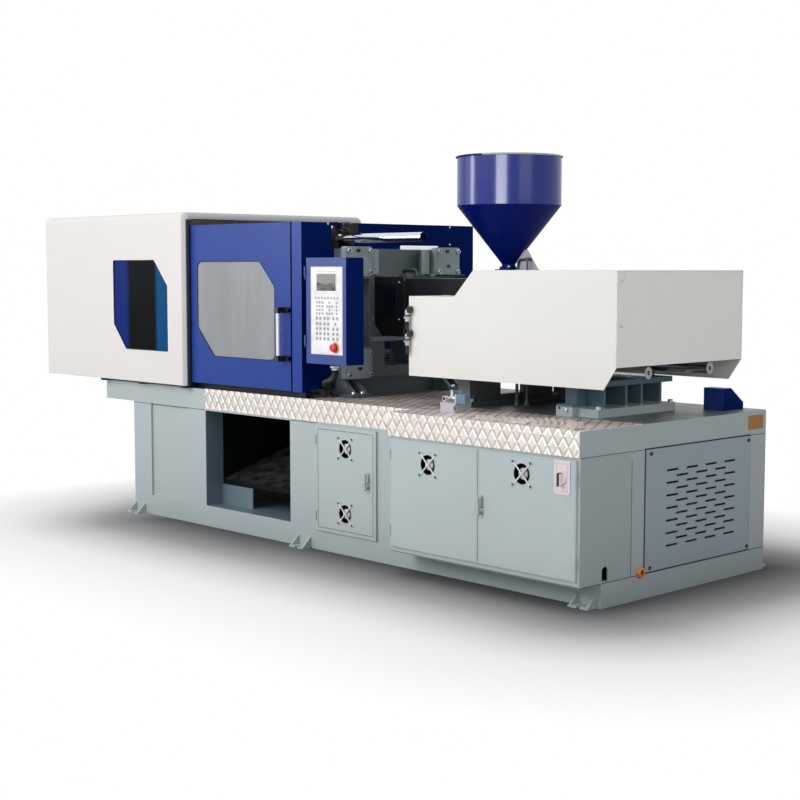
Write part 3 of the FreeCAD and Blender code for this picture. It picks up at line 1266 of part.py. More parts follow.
faults = [
    f"{thing.Label}: {state}" for thing in document.Objects for state in thing.State
    if state in ("Invalid", "Error")]
for thing in nodes:
    if thing.Shape.isNull() or not thing.Shape.isValid() or not thing.Shape.Solids:
        faults.append(f"{thing.Label}: its shape is empty or not valid")
if faults:
    raise SystemExit("\n".join(faults))

os.makedirs("parts", exist_ok=True)
for thing in nodes:
    thing.Shape.exportStep(os.path.join("parts", f"{thing.Label}.step"))
    print(thing.Label, len(thing.Shape.Solids), "solids", len(thing.Shape.Faces), "faces",
          round(thing.Shape.Volume / 1e6, 3), "litres")
print(len(nodes), "sub-parts")
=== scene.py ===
import math

import bmesh
import bpy
import numpy as np
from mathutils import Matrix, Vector


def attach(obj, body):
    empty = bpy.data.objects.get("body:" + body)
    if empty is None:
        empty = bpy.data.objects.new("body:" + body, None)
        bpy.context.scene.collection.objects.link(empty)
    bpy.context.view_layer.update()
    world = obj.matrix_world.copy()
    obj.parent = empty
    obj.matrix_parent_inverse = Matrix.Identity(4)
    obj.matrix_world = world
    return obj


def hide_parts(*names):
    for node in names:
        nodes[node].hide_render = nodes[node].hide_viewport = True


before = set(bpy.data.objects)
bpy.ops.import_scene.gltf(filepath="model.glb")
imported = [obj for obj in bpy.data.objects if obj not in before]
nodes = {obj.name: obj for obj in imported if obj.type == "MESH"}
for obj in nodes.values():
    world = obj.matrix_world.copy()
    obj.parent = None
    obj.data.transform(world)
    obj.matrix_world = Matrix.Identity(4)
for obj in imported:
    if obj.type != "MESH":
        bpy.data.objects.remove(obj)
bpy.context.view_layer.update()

# The injection moulding machine's looks: finishes for the CAD nodes, then small pieces in millimetres that
# ride on the bodies, then the room.  +X is the injection end, -Y the operator's side, and Z is up.

MM = 0.001


def placed(name, data):
    """A new object that holds the data, in the scene."""
    thing = bpy.data.objects.new(name, data)
    bpy.context.scene.collection.objects.link(thing)
    return thing


# ---------------- camera

TILT, TURN = 5.137, 46.506
camera = placed("camera", bpy.data.cameras.new("camera"))
camera.location = (5.8575, -5.6786, 1.5)
camera.rotation_euler = (math.radians(90 - TILT), 0, math.radians(TURN))
camera.data.lens = 66.44
camera.data.sensor_width = 36
camera.data.clip_end = 200
bpy.context.scene.camera = camera


# ---------------- shapes, in millimetres

def faces_between(rows, columns, around_rows=False, around_columns=False):
    """Quads between neighbouring points of a grid whose rows, columns or both may close on themselves."""
    row, column = np.meshgrid(np.arange(rows if around_rows else rows - 1),
                              np.arange(columns if around_columns else columns - 1), indexing="ij")
    next_row, next_column = (row + 1) % rows, (column + 1) % columns
    return np.stack([row * columns + column, next_row * columns + column, next_row * columns + next_column,
                     row * columns + next_column], axis=-1).reshape(-1, 4).tolist()


def flat_to_space(flat, level, axis):
    """Points of the plane across an axis, at a level along it; the plane's own axes keep their order."""
    along = "xyz".index(axis)
    flat = np.asarray(flat, float)
    points = np.empty(flat.shape[:-1] + (3,))
    points[..., [other for other in range(3) if other != along]] = flat
    points[..., along] = level
    return points


def turned(profile, centre, axis, sides):
    """A surface of revolution: centre + radius * (cos a, sin a) + height * axis, over the profile's
    (radius, height) corners and the angle a all round; where the radius is nought it closes.
    Heights go the other way along an axis written with a minus."""
    radius, height = np.array(profile, float).T[:, :, None]
    height = -height if axis[0] == "-" else height
    angle = np.arange(sides) * 2 * np.pi / sides
    ring = np.stack([radius * np.cos(angle), radius * np.sin(angle)], axis=-1)
    points = flat_to_space(ring, height + 0 * angle, axis[-1]) + np.array(centre, float)
    return points.reshape(-1, 3), faces_between(len(profile), sides, around_columns=True)


def mitres(outline):
    """At each corner of a closed outline, the outward step that moves both its sides by one."""
    side = np.roll(outline, -1, 0) - outline
    out = np.stack([side[:, 1], -side[:, 0]], 1) / np.linalg.norm(side, axis=1)[:, None]
    before = np.roll(out, 1, 0)
    area = np.sum(outline[:, 0] * np.roll(outline[:, 1], -1) - outline[:, 1] * np.roll(outline[:, 0], -1))
    return np.sign(area) * (out + before) / (1 + np.sum(out * before, 1))[:, None]


def arced(corners, radius, steps=4):
    """A polygon with its corners drawn round: (1-t)^2 A + 2 t (1-t) C + t^2 B for t from 0 to 1, where A
    and B lie on the sides, at the radius times the tangent of half the turn from the corner C."""
    corner = np.array(corners, float)
    into = corner - np.roll(corner, 1, 0)
    into /= np.linalg.norm(into, axis=1)[:, None]
    out = np.roll(into, -1, 0)
    turn = np.arccos(np.clip(np.sum(into * out, 1), -1, 1))
    reach = (radius * np.tan(turn / 2))[:, None, None]
    t = np.linspace(0, 1, steps + 1)[None, :, None]
    middle = corner[:, None]
    curve = middle - into[:, None] * reach * (1 - t) ** 2 + out[:, None] * reach * t ** 2
    return curve.reshape(-1, 2)


def oblong(across, up, radius=0.0, steps=4):
    """A rectangle between two limits across and two up, with round corners."""
    corners = [(across[0], up[0]), (across[1], up[0]), (across[1], up[1]), (across[0], up[1])]
    return arced(corners, radius, steps) if radius else np.array(corners, float)


def slab(outline, back, front, axis="y", bevel=0.0):
    """A plate: its outline carried from back to front, and drawn in by the bevel at the front's edge."""
    outline = np.asarray(outline, float)
    inward = mitres(outline) * -bevel
    lift = math.copysign(bevel, front - back)
    rings = [(outline, back), (outline, front - lift), (outline + inward, front)] if bevel else \
            [(outline, back), (outline, front)]
    points = np.concatenate([flat_to_space(ring, level, axis) for ring, level in rings])
    count = len(outline)
    faces = faces_between(len(rings), count, around_columns=True)
    return points, faces + [list(range(count)), list(range(count * (len(rings) - 1), count * len(rings)))]


def band(outline, section, level, axis="y"):
    """A moulding round a closed outline: outline + mitre * out at level + up, for the closed section's
    corners (out, up) and all corners of the outline."""
    outline = np.asarray(outline, float)
    out, up = np.array(section, float).T[:, :, None]
    rings = flat_to_space(outline[None] + mitres(outline)[None] * out[..., None],
                          level + up + np.zeros(len(outline)), axis)
    return rings.reshape(-1, 3), faces_between(len(section), len(outline), True, True)


def tube(path, radius, sides=12, reference=(0, 0, 1)):
    """A pipe: path + radius * (cos a * side + sin a * across), where side and across are square to the
    path's direction and to each other; the radius may vary along the path, and is nought at its ends."""
    path = np.array(path, float)
    path = np.concatenate([path[:1], path, path[-1:]])
    radius = np.concatenate([[0.0], np.broadcast_to(radius, len(path) - 2), [0.0]])
    along = np.gradient(path, axis=0)
    along[0], along[-1] = along[1], along[-2]
    side = np.cross(along, reference)
    side /= np.linalg.norm(side, axis=1)[:, None]
    across = np.cross(side, along)
    across /= np.linalg.norm(across, axis=1)[:, None]
    angle = np.arange(sides)[None, :, None] * 2 * np.pi / sides
    out = np.cos(angle) * side[:, None] + np.sin(angle) * across[:, None]
    rings = path[:, None] + radius[:, None, None] * out
    return rings.reshape(-1, 3), faces_between(len(path), sides, around_columns=True)


def copies(shape, steps):
    """The same shape again at every step from where it was made."""
    points, faces = shape
    moved = points[None] + np.array(steps, float)[:, None]
    return moved.reshape(-1, 3), [[corner + len(points) * number for corner in face]
                                  for number in range(len(steps)) for face in faces]


def lattice(across, along, up):
    """Every place whose x, y and z are taken from three lists."""
    return [(x, y, z) for x in across for y in along for z in up]


def smooth_line(route, steps):
    """The points of the NURBS spline of order 3 that a route's points control, ends included."""
    curve = bpy.data.curves.new("route", "CURVE")
    curve.dimensions = "3D"
    spline = curve.splines.new("NURBS")
    spline.points.add(len(route) - 1)
    spline.points.foreach_set("co", np.column_stack([route, np.ones(len(route))]).ravel())
    spline.order_u = 3
    spline.use_endpoint_u = True
    spline.resolution_u = steps
    holder = bpy.data.objects.new("route", curve)
    mesh = bpy.data.meshes.new_from_object(holder)
    points = np.empty(3 * len(mesh.vertices))
    mesh.vertices.foreach_get("co", points)
    bpy.data.objects.remove(holder)
    bpy.data.curves.remove(curve)
    bpy.data.meshes.remove(mesh)
    return points.reshape(-1, 3)


def piece(name, shapes, finish, body="machine_base", smooth=38):
    """Join shapes in millimetres into one piece that rides on a body, closed and facing outwards."""
    starts = np.cumsum([0] + [len(points) for points, _ in shapes])
    points = np.concatenate([points for points, _ in shapes]) * MM
    faces = [[corner + int(start) for corner in face]
             for start, (_, part) in zip(starts, shapes) for face in part]
    mesh = bpy.data.meshes.new(name)
    mesh.from_pydata(points.tolist(), [], faces)
    work = bmesh.new()
    work.from_mesh(mesh)
    bmesh.ops.remove_doubles(work, verts=work.verts, dist=0.00001)
    bmesh.ops.recalc_face_normals(work, faces=work.faces)
    work.to_mesh(mesh)
    work.free()
    mesh.shade_smooth()
    mesh.set_sharp_from_angle(angle=math.radians(smooth))
    mesh.materials.append(finish)
    thing = placed(name, mesh)
    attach(thing, body)
    return thing


def socket_screw(radius, high):
    """A profile for a screw's head: a socket, a rim and a rounded shoulder."""
    return [(0, high * 0.3), (radius * 0.42, high * 0.3), (radius * 0.5, high), (radius * 0.82, high),
            (radius, high * 0.72), (radius, 0), (0, 0)]


def domed(radius, high):
    """A profile for a low domed head, from its top to its foot."""
    return [(0, high), (radius * 0.45, high * 0.94), (radius * 0.8, high * 0.66), (radius, high * 0.2),
            (radius, 0), (0, 0)]


def hexagon(radius, high):
    """A profile for a six-sided head or nut, chamfered at the top; it is turned with six sides."""
    return [(0, high), (radius * 0.86, high), (radius, high * 0.86), (radius, 0), (0, 0)]


# ---------------- materials

def linear(red, green, blue):
    """A colour written as 0..255 values of the picture, in the shader's linear units."""
    parts = np.array([red, green, blue]) / 255
    return (*np.where(parts <= 0.04045, parts / 12.92, ((parts + 0.055) / 1.055) ** 2.4), 1.0)


def tone(colour, factor):
    return (*(min(1.0, part * factor) for part in colour[:3]), 1.0)


class Finish:
    """A material whose nodes are added one by one; lengths in it are metres on the object."""

    def __init__(self, name):
        self.material = bpy.data.materials.new(name)
        self.material.use_nodes = True
        self.tree = self.material.node_tree
        self.shader = self.tree.nodes["Principled BSDF"]
        place = self.tree.nodes.new("ShaderNodeTexCoord")
        self.place = place.outputs["Object"]
        self.x, self.y, self.z = self.node("ShaderNodeSeparateXYZ", {0: self.place}).outputs
        self.normal = self.node("ShaderNodeSeparateXYZ", {0: place.outputs["Normal"]}).outputs

    def give(self, socket, value):
        """Link a socket to another one, or write a plain value into it."""
        if isinstance(value, bpy.types.NodeSocket):
            self.tree.links.new(value, socket)
        else:
            socket.default_value = value

    def node(self, kind, inputs=None, **settings):
        node = self.tree.nodes.new(kind)
        for name, value in settings.items():
            setattr(node, name, value)
        for name, value in (inputs or {}).items():
            self.give(node.inputs[name], value)
        return node

    def set(self, **values):
        """Give the shader its values, by the names of its inputs, and hand over the material."""
        for name, value in values.items():
            self.give(self.shader.inputs[name.replace("_", " ")], value)
        return self.material

    def sprayed_on(self, base, rough, peel=0.0001, grain=380, **values):
        """Set a coat of paint: a colour, uneven roughness between two limits and the relief of its peel."""
        return self.set(Base_Color=base, Roughness=self.vary(self.noise(9, 4), *rough),
                        Normal=self.relief(self.noise(grain, 2), peel), **values)

    def math(self, operation, first, second=0.0):
        return self.node("ShaderNodeMath", {0: first, 1: second}, operation=operation).outputs[0]

    def minus(self, first, second):
        return self.math("SUBTRACT", first, second)

    def product(self, *factors):
        result = factors[0]
        for factor in factors[1:]:
            result = self.math("MULTIPLY", result, factor)
        return result

    def length(self, first, second):
        """The square root of first^2 + second^2."""
        return self.math("SQRT", self.math("ADD", self.product(first, first), self.product(second, second)))

    def noise(self, scale, detail=3.0, stretch=(1, 1, 1), roughness=0.5):
        spread = self.node("ShaderNodeMapping", {"Vector": self.place, "Scale": stretch})
        values = {"Vector": spread.outputs[0], "Scale": scale, "Detail": detail, "Roughness": roughness}
        return self.node("ShaderNodeTexNoise", values).outputs["Fac"]

    def ramp(self, value, low, high, start=0.0, end=1.0):
        """Map a value from low..high to start..end, held at both."""
        return self.node("ShaderNodeMapRange", {"Value": value, "From Min": low, "From Max": high,
                                                "To Min": start, "To Max": end}).outputs["Result"]

    def below(self, value, low, high):
        """One under the lower limit, falling to nought at the higher one."""
        return self.ramp(value, low, high, 1.0, 0.0)

    def vary(self, noise, start=0.0, end=1.0):
        """Map noise, most of which lies between 0.3 and 0.7, to start..end."""
        return self.ramp(noise, 0.3, 0.7, start, end)

    def within(self, value, low, high, blur=0.0004):
        """One between two limits and nought outside them."""
        return self.product(self.ramp(value, low - blur, low), self.below(value, high, high + blur))

    def mix(self, share, first, second):
        blend = self.node("ShaderNodeMix", data_type="RGBA")
        for index, value in ((0, share), (6, first), (7, second)):
            self.give(blend.inputs[index], value)
        return blend.outputs[2]

    def relief(self, height, distance, strength=1.0):
        bump = self.node("ShaderNodeBump", {"Height": height, "Distance": distance, "Strength": strength})
        return bump.outputs["Normal"]


def sprayed(paint, colour, spread):
    """The paint's colour with broad soft mottling, and dust that lies on what faces up."""
    mottling = paint.vary(paint.noise(1.7, 3))
    base = paint.mix(mottling, tone(colour, 1 - spread), tone(colour, 1 + spread * 0.6))
    dust = paint.product(paint.ramp(paint.normal[2], 0.6, 1.0),
                         paint.ramp(paint.noise(14, 4), 0.35, 0.8, 0, 0.22))
    return paint.mix(dust, base, linear(150, 148, 144))


def enamel(name, colour, roughness, shine=0.5, peel=0.0001, spread=0.04, ends=None):
    """Sprayed paint with orange peel; faces across the machine may get painted shade: a deeper colour and
    less shine.
    """
    paint = Finish(name)
    base = sprayed(paint, colour, spread)
    if ends:
        # Painted shade: faces across the machine take the darker end colour and less shine.
        across = paint.ramp(paint.math("ABSOLUTE", paint.normal[0]), 0.75, 0.95)
        base = paint.mix(across, base, ends)
        shine = paint.ramp(across, 0.0, 1.0, shine, shine * 0.1)
    return paint.sprayed_on(base, (roughness - 0.04, roughness + 0.06), peel, Specular_IOR_Level=shine)


# Places where a finish changes within one CAD node, in metres on the frame.
DECK_TOP = 0.798
CHUTE_ROOM = ((-1.0905, -0.3165), (-0.638, 0.638), (0.1185, 0.6765))
HOOD_MOUTH, HOOD_BOTTOM, HOOD_SIDE_TOP = -1.238, 0.8125, 1.772
CONE_TOP, HOPPER_RIM = 1.815, 2.056
BRACKET_FOOT = 0.7475
PLATEN_FACE, FEET_TOP, PLATEN_TOP = -0.1295, 0.895, 1.55
FAN_OPENING = 0.060
BLOCK_FACE, BLOCK_TOP, BLOCK_BODY = -0.5445, 0.8462, 0.8885
PAD_TOP = 0.842


def bed_paint(name):
    """The bed's enamel, dark on what faces up at deck height, with painted shade deepening inside the room
    for the chute and on the faces towards the injection end.
    """
    paint = Finish(name)
    base = sprayed(paint, GREY, 0.035)
    dark = linear(92, 96, 100)
    deck = paint.product(paint.ramp(paint.z, DECK_TOP - 0.002, DECK_TOP - 0.001),
                         paint.ramp(paint.normal[2], 0.5, 0.6))
    worn = paint.mix(paint.ramp(paint.noise(22, 5, (0.4, 1, 1)), 0.45, 0.75), dark, tone(dark, 2.0))
    room = paint.product(*(paint.within(place, *limits)
                           for place, limits in zip((paint.x, paint.y, paint.z), CHUTE_ROOM)))
    # Painted shade: the chute's room darkens from a blue grey at its mouth to near black deeper in.
    inner = paint.mix(paint.ramp(paint.y, -0.48, -0.16), linear(98, 118, 130), linear(20, 23, 25))
    # Painted shade: faces towards the injection end are a darker grey.
    base = paint.mix(paint.ramp(paint.normal[0], 0.7, 0.9), base, tone(GREY, 0.80))
    base = paint.mix(room, base, inner)
    return paint.sprayed_on(paint.mix(deck, base, worn), (0.36, 0.48), 0.00012, 300)


def hood_paint(name):
    """White enamel with painted shade: grey on the rounded edge of the hood's mouth, and dark on that
    edge's inner half and on the brackets below the sheet."""
    paint = Finish(name)
    base = sprayed(paint, linear(228, 223, 219), 0.012)
    mouth = paint.ramp(paint.x, HOOD_MOUTH - 0.0005, HOOD_MOUTH + 0.0005)
    # Painted shade: the rounded edge of the mouth turns grey.
    rim = paint.product(mouth, paint.ramp(paint.normal[0], 0.06, 0.14))
    # Painted shade: the inner half of that edge and the brackets under the sheet go dark.
    mouth_shade = paint.product(mouth, paint.below(paint.z, HOOD_SIDE_TOP, HOOD_SIDE_TOP + 0.008),
                         paint.ramp(paint.normal[0], 0.76, 0.82))
    brackets = paint.below(paint.z, HOOD_BOTTOM, HOOD_BOTTOM + 0.0005)
    base = paint.mix(rim, base, linear(192, 190, 192))
    base = paint.mix(paint.math("MAXIMUM", mouth_shade, brackets), base, linear(20, 24, 40))
    return paint.sprayed_on(base, (0.36, 0.46), Specular_IOR_Level=0.3)


def spun_paint(name):
    """The hopper's glossy blue: paler round the cylinder, and darker and duller down the cone as painted
    shade.
    """
    paint = Finish(name)
    cylinder = paint.ramp(paint.z, CONE_TOP - 0.003, CONE_TOP + 0.003)
    # Painted shade: the cone is a deeper blue with less coat and shine than the cylinder.
    base = paint.mix(cylinder, (0.0012, 0.008, 0.115, 1), (0.014, 0.030, 0.220, 1))
    rolled = paint.ramp(paint.z, HOPPER_RIM, HOPPER_RIM + 0.0005)
    return paint.set(Base_Color=paint.mix(rolled, base, linear(16, 18, 40)), Coat_Roughness=0.06,
                     Coat_Weight=paint.ramp(cylinder, 0, 1, 0.02, 0.16),
                     Specular_IOR_Level=paint.ramp(cylinder, 0, 1, 0.05, 0.22),
                     Roughness=paint.vary(paint.noise(7, 3, (1, 1, 0.2)), 0.20, 0.28),
                     Normal=paint.relief(paint.noise(6, 2, (1, 1, 0.1)), 0.002))


def block_paint(name):
    """The hopper's block in blue enamel and its bracket in pale grey."""
    paint = Finish(name)
    bracket = paint.ramp(paint.x, BRACKET_FOOT, BRACKET_FOOT + 0.0005)
    base = paint.mix(bracket, sprayed(paint, (0.004, 0.014, 0.13, 1), 0.05), linear(172, 172, 180))
    return paint.sprayed_on(base, (0.3, 0.42), Specular_IOR_Level=0.15)


def platen_paint(name):
    """Casting enamel, brighter on the bar plates, and on edges that face up as painted light."""
    paint = Finish(name)
    plates = paint.product(paint.ramp(paint.x, PLATEN_FACE, PLATEN_FACE + 0.0005),
                           paint.ramp(paint.z, FEET_TOP, FEET_TOP + 0.001))
    # Painted light: the upward faces near the platen's top are paler.
    top = paint.product(paint.ramp(paint.normal[2], 0.6, 0.8),
                        paint.ramp(paint.z, PLATEN_TOP, PLATEN_TOP + 0.01))
    base = paint.mix(paint.math("MAXIMUM", plates, top), sprayed(paint, linear(112, 124, 128), 0.12),
                     linear(158, 172, 175))
    return paint.sprayed_on(base, (0.46, 0.56), 0.0005, Specular_IOR_Level=0.35)


def door_paint(name, fans, face):
    """Door enamel, with painted shade: black inside the round openings for the fans, behind the sheet's face.
    """
    paint = Finish(name)
    base = sprayed(paint, linear(182, 193, 195), 0.03)
    behind = paint.ramp(paint.y, face + 0.0006, face + 0.0012)
    for x, z in fans:
        gap = paint.length(paint.minus(paint.x, x), paint.minus(paint.z, z))
        # Painted shade in the fan openings.
        inside = paint.product(behind, paint.below(gap, FAN_OPENING, FAN_OPENING + 0.0002))
        base = paint.mix(inside, base, (0.003, 0.004, 0.004, 1))
    return paint.sprayed_on(base, (0.38, 0.48))


def bridge_paint(name):
    """Casting enamel; on the small fluid block at the front: a pale block, bright fittings, a blue body."""
    paint = Finish(name)
    front = paint.below(paint.y, BLOCK_FACE, BLOCK_FACE + 0.0005)
    above = paint.product(front, paint.ramp(paint.z, BLOCK_TOP, BLOCK_TOP + 0.0004))
    body = paint.product(front, paint.ramp(paint.x, BLOCK_BODY, BLOCK_BODY + 0.0005))
    base = paint.mix(front, sprayed(paint, CASTING, 0.12), linear(196, 190, 198))
    base = paint.mix(above, base, linear(216, 218, 220))
    base = paint.mix(body, base, linear(104, 130, 146))
    bright = paint.product(above, paint.minus(1.0, body))
    return paint.set(Base_Color=base, Metallic=paint.product(bright, 0.9), Specular_IOR_Level=0.35,
                     Roughness=paint.ramp(bright, 0, 1, 0.5, 0.2),
                     Normal=paint.relief(paint.noise(380, 2), 0.0003))


def support_paint(name):
    """Bridge enamel: deep blue grey above a pad in the bed's grey."""
    paint = Finish(name)
    base = paint.mix(paint.ramp(paint.z, PAD_TOP, PAD_TOP + 0.001), sprayed(paint, GREY, 0.03),
                     linear(94, 122, 134))
    return paint.sprayed_on(base, (0.42, 0.52), 0.0002, Specular_IOR_Level=0.2)


def bare_metal(name, colour, roughness, stretch=(1, 1, 1), scratch=0.00008, depth=0.2):
    """Bare metal with drawn or ground lines: a noise stretched along the grain."""
    metal = Finish(name)
    colour = linear(*colour)
    lines = metal.noise(160, 4, stretch)
    return metal.set(Base_Color=metal.mix(metal.ramp(lines, 0.25, 0.75), tone(colour, 1 - depth), colour),
                     Metallic=1.0, Roughness=metal.vary(lines, roughness - 0.06, roughness + 0.08),
                     Normal=metal.relief(lines, scratch))


LOZENGE_LONG, LOZENGE_HIGH, LOZENGE_TOP = 0.060, 0.095, 0.42


def tread_sheet(name):
    """Pressed tread plate: a quilt of flat-topped lozenges, worn and dusty where feet go, with painted shade
    in the grooves between them.

    With u along the machine and v across the folded sheet, each in pitches, and s = u + v, t = u - v, the
    height is the smaller of the triangle waves |2 frac(s) - 1| and |2 frac(t) - 1|, cut off at 0.42."""
    metal = Finish(name)
    u = metal.product(metal.x, 1 / LOZENGE_LONG)
    v = metal.product(metal.minus(metal.y, metal.z), 1 / LOZENGE_HIGH)

    def wave(value):
        return metal.math("ABSOLUTE", metal.minus(metal.product(metal.math("FRACT", value), 2.0), 1.0))

    height = metal.math("MINIMUM", wave(metal.math("ADD", u, v)), wave(metal.minus(u, v)))
    height = metal.ramp(height, 0.03, LOZENGE_TOP)
    creases = metal.noise(16, 5, (0.35, 1.5, 1), 0.7)
    crumpled = metal.product(metal.within(metal.x, 1.15, 1.72, 0.2), metal.noise(30, 4, (1, 0.5, 1)))
    on_top = metal.product(metal.ramp(metal.z, DECK_TOP, DECK_TOP + 0.002),
                           metal.ramp(metal.normal[2], 0.5, 0.7))
    cloudy = metal.vary(metal.noise(45, 4, (1, 1, 0.5)))
    light = metal.mix(cloudy, linear(204, 196, 190), linear(228, 222, 216))
    # Painted shade: the flange's grooves between the lozenges are darker.
    light = metal.mix(metal.ramp(height, 0.0, 0.7, 0.45, 0), light, linear(160, 150, 144))
    worn = metal.mix(metal.ramp(creases, 0.36, 0.66), linear(182, 168, 162), linear(246, 238, 232))
    # Painted shade: the grooves on the deck's top are darker still.
    worn = metal.mix(metal.ramp(height, 0.1, 0.8, 0.75, 0), worn, linear(104, 92, 90))
    relief = metal.math("ADD", height, metal.product(on_top, metal.product(creases, 1.1)))
    relief = metal.math("ADD", relief, metal.product(on_top, metal.product(crumpled, 2.2)))
    return metal.set(Base_Color=metal.mix(on_top, light, worn), Metallic=metal.ramp(on_top, 0, 1, 0.55, 0.2),
                     Roughness=metal.vary(creases, 0.34, 0.5), Normal=metal.relief(relief, 0.005, 0.55))


def moulded(name, colour, roughness, grain=0.00008, shine=0.5, glow=0.0):
    """Moulded plastic or rubber: fine grain and a slightly uneven sheen; a pale strip may also glow as
    painted light.
    """
    plastic = Finish(name)
    colour = linear(*colour)
    base = plastic.mix(plastic.vary(plastic.noise(12, 3)), tone(colour, 0.88), tone(colour, 1.08))
    return plastic.set(Base_Color=base, Specular_IOR_Level=shine,
                       Emission_Color=colour, Emission_Strength=glow,
                       Roughness=plastic.vary(plastic.noise(25, 3), roughness - 0.06, roughness + 0.06),
                       Normal=plastic.relief(plastic.noise(900, 2), grain))


def banded(name, first, second, axis, low, high, metal=0.0, roughness=0.3):
    """Two finishes on one piece: the second between two limits along an axis, the first elsewhere."""
    paint = Finish(name)
    share = paint.within({"x": paint.x, "z": paint.z}[axis], low, high)
    return paint.set(Base_Color=paint.mix(share, linear(*first), linear(*second)),
                     Metallic=paint.product(share, metal),
                     Roughness=paint.math("ADD", paint.vary(paint.noise(60, 3), -0.04, 0.05), roughness),
                     Normal=paint.relief(paint.noise(500, 2), 0.00005))


def gate_pane(name, colour, opacity, roughness, streaks):
    """A clear sheet with a faint body colour, smeared by handling and streaked from top to bottom."""
    pane = Finish(name)
    smear = pane.noise(6, 5, (1, 1, 0.4))
    drawn = pane.vary(pane.noise(9, 3, (1, 1, 0.12)), 1 - streaks, 1 + streaks * 0.4)
    tinted = pane.mix(pane.vary(smear), tone(colour, 0.94), colour)
    shaded = pane.node("ShaderNodeVectorMath", {0: tinted, 3: drawn}, operation="SCALE").outputs[0]
    return pane.set(Base_Color=shaded, Roughness=pane.vary(smear, roughness, roughness + 0.12),
                    Alpha=pane.vary(smear, opacity - 0.03, opacity + 0.03), IOR=1.5)


def view_painted_pane(name):
    """The hood's pane with the view through it painted on: nearly black as painted shade of the dark inside,
    with the painted blue of the lit things that stand behind its two ends.
    """
    pane = Finish(name)
    lean = pane.math("ADD", pane.x, pane.product(pane.noise(4, 2, (1, 1, 0.3)), 0.04))
    # Painted shade and light: black for the dark inside, blue for the lit parts behind the ends.
    painted_view = pane.mix(pane.below(lean, -1.80, -1.76), linear(6, 9, 12), linear(14, 42, 116))
    painted_view = pane.mix(pane.ramp(lean, -1.49, -1.46), painted_view, linear(10, 76, 124))
    return pane.set(Base_Color=painted_view, Roughness=pane.vary(pane.noise(6, 4), 0.08, 0.16),
                    Alpha=pane.vary(pane.noise(5, 4), 0.975, 0.99), Specular_IOR_Level=0.02)


def display_glass(name):
    """The dark display behind glass: a paler field above a ragged darker one, as a picture of strata."""
    glass = Finish(name)
    edge = glass.math("ADD", glass.z, glass.product(glass.noise(22, 3, (1, 0.1, 1)), 0.03))
    strata = glass.ramp(glass.noise(60, 3, (0.3, 0.1, 1)), 0.35, 0.65)
    low = glass.mix(strata, linear(44, 44, 44), linear(112, 111, 108))
    field = glass.mix(glass.ramp(edge, 1.4305, 1.4335), low, linear(136, 134, 130))
    return glass.set(Base_Color=field, Roughness=glass.vary(glass.noise(8), 0.12, 0.2))


GREY = linear(178, 189, 191)
CASTING = linear(116, 124, 128)
NAVY = (0.022, 0.058, 0.300, 1)
# Painted shade: the deeper navy for faces across the machine.
NAVY_END_SHADE = (0.0020, 0.0130, 0.1150, 1)

grey_enamel = enamel("grey enamel", GREY, 0.42)
# Painted shade on the navy parts' faces across the machine.
navy_enamel = enamel("navy enamel", NAVY, 0.30, 0.12, spread=0.05, ends=NAVY_END_SHADE)
hopper_enamel = block_paint("hopper block enamel")
dark_enamel = enamel("dark enamel", linear(40, 44, 50), 0.45, spread=0.15)
chrome = bare_metal("ground chrome", (222, 223, 225), 0.12, (0.05, 1, 1), 0.00001, 0.06)
zinc = bare_metal("zinc casting", (190, 192, 194), 0.3, scratch=0.00004, depth=0.15)
brass = bare_metal("brass", (176, 128, 76), 0.38, (0.3, 1, 1))
black_plastic = moulded("black plastic", (18, 18, 20), 0.42)
fan_plastic = moulded("fan plastic", (7, 8, 9), 0.5, shine=0.06)
wire = moulded("coated wire", (240, 240, 240), 0.3, 0.00002)
white_plastic = moulded("white plastic", (228, 227, 226), 0.35)
film = moulded("peeled film", (196, 184, 176), 0.3, 0.0004)
# Painted light: the white strip glows.
glowing_strip = moulded("glowing strip", (250, 250, 250), 0.4, glow=0.45)
hub_plastic = moulded("hub plastic", (212, 204, 212), 0.45)
orange_plastic = moulded("orange plastic", (232, 128, 44), 0.35)
rubber = moulded("rubber", (24, 24, 27), 0.5, 0.0002)
hose_rubber = moulded("hose rubber", (9, 10, 12), 0.32, 0.00005, 0.35)
membrane = moulded("membrane", (240, 238, 238), 0.4, 0.00003)
key_film = moulded("key film", (196, 198, 204), 0.4, 0.00003)
key_ink = moulded("key outline", (120, 120, 128), 0.5, 0.00003)
pink_line = moulded("pink line", (226, 178, 190), 0.45, 0.00003)
switch_film = moulded("switch plate film", (232, 220, 224), 0.4, 0.00003)
gap_shadow = moulded("gap shadow", (54, 60, 63), 0.7, shine=0.1)
bead_rubber = moulded("bead rubber", (12, 16, 34), 0.4)
bead_blue = moulded("bead blue", (10, 22, 84), 0.35, shine=0.3)
guard_film = moulded("guard pane", (15, 19, 32), 0.3, 0.00002, 0.3)
display = display_glass("display")

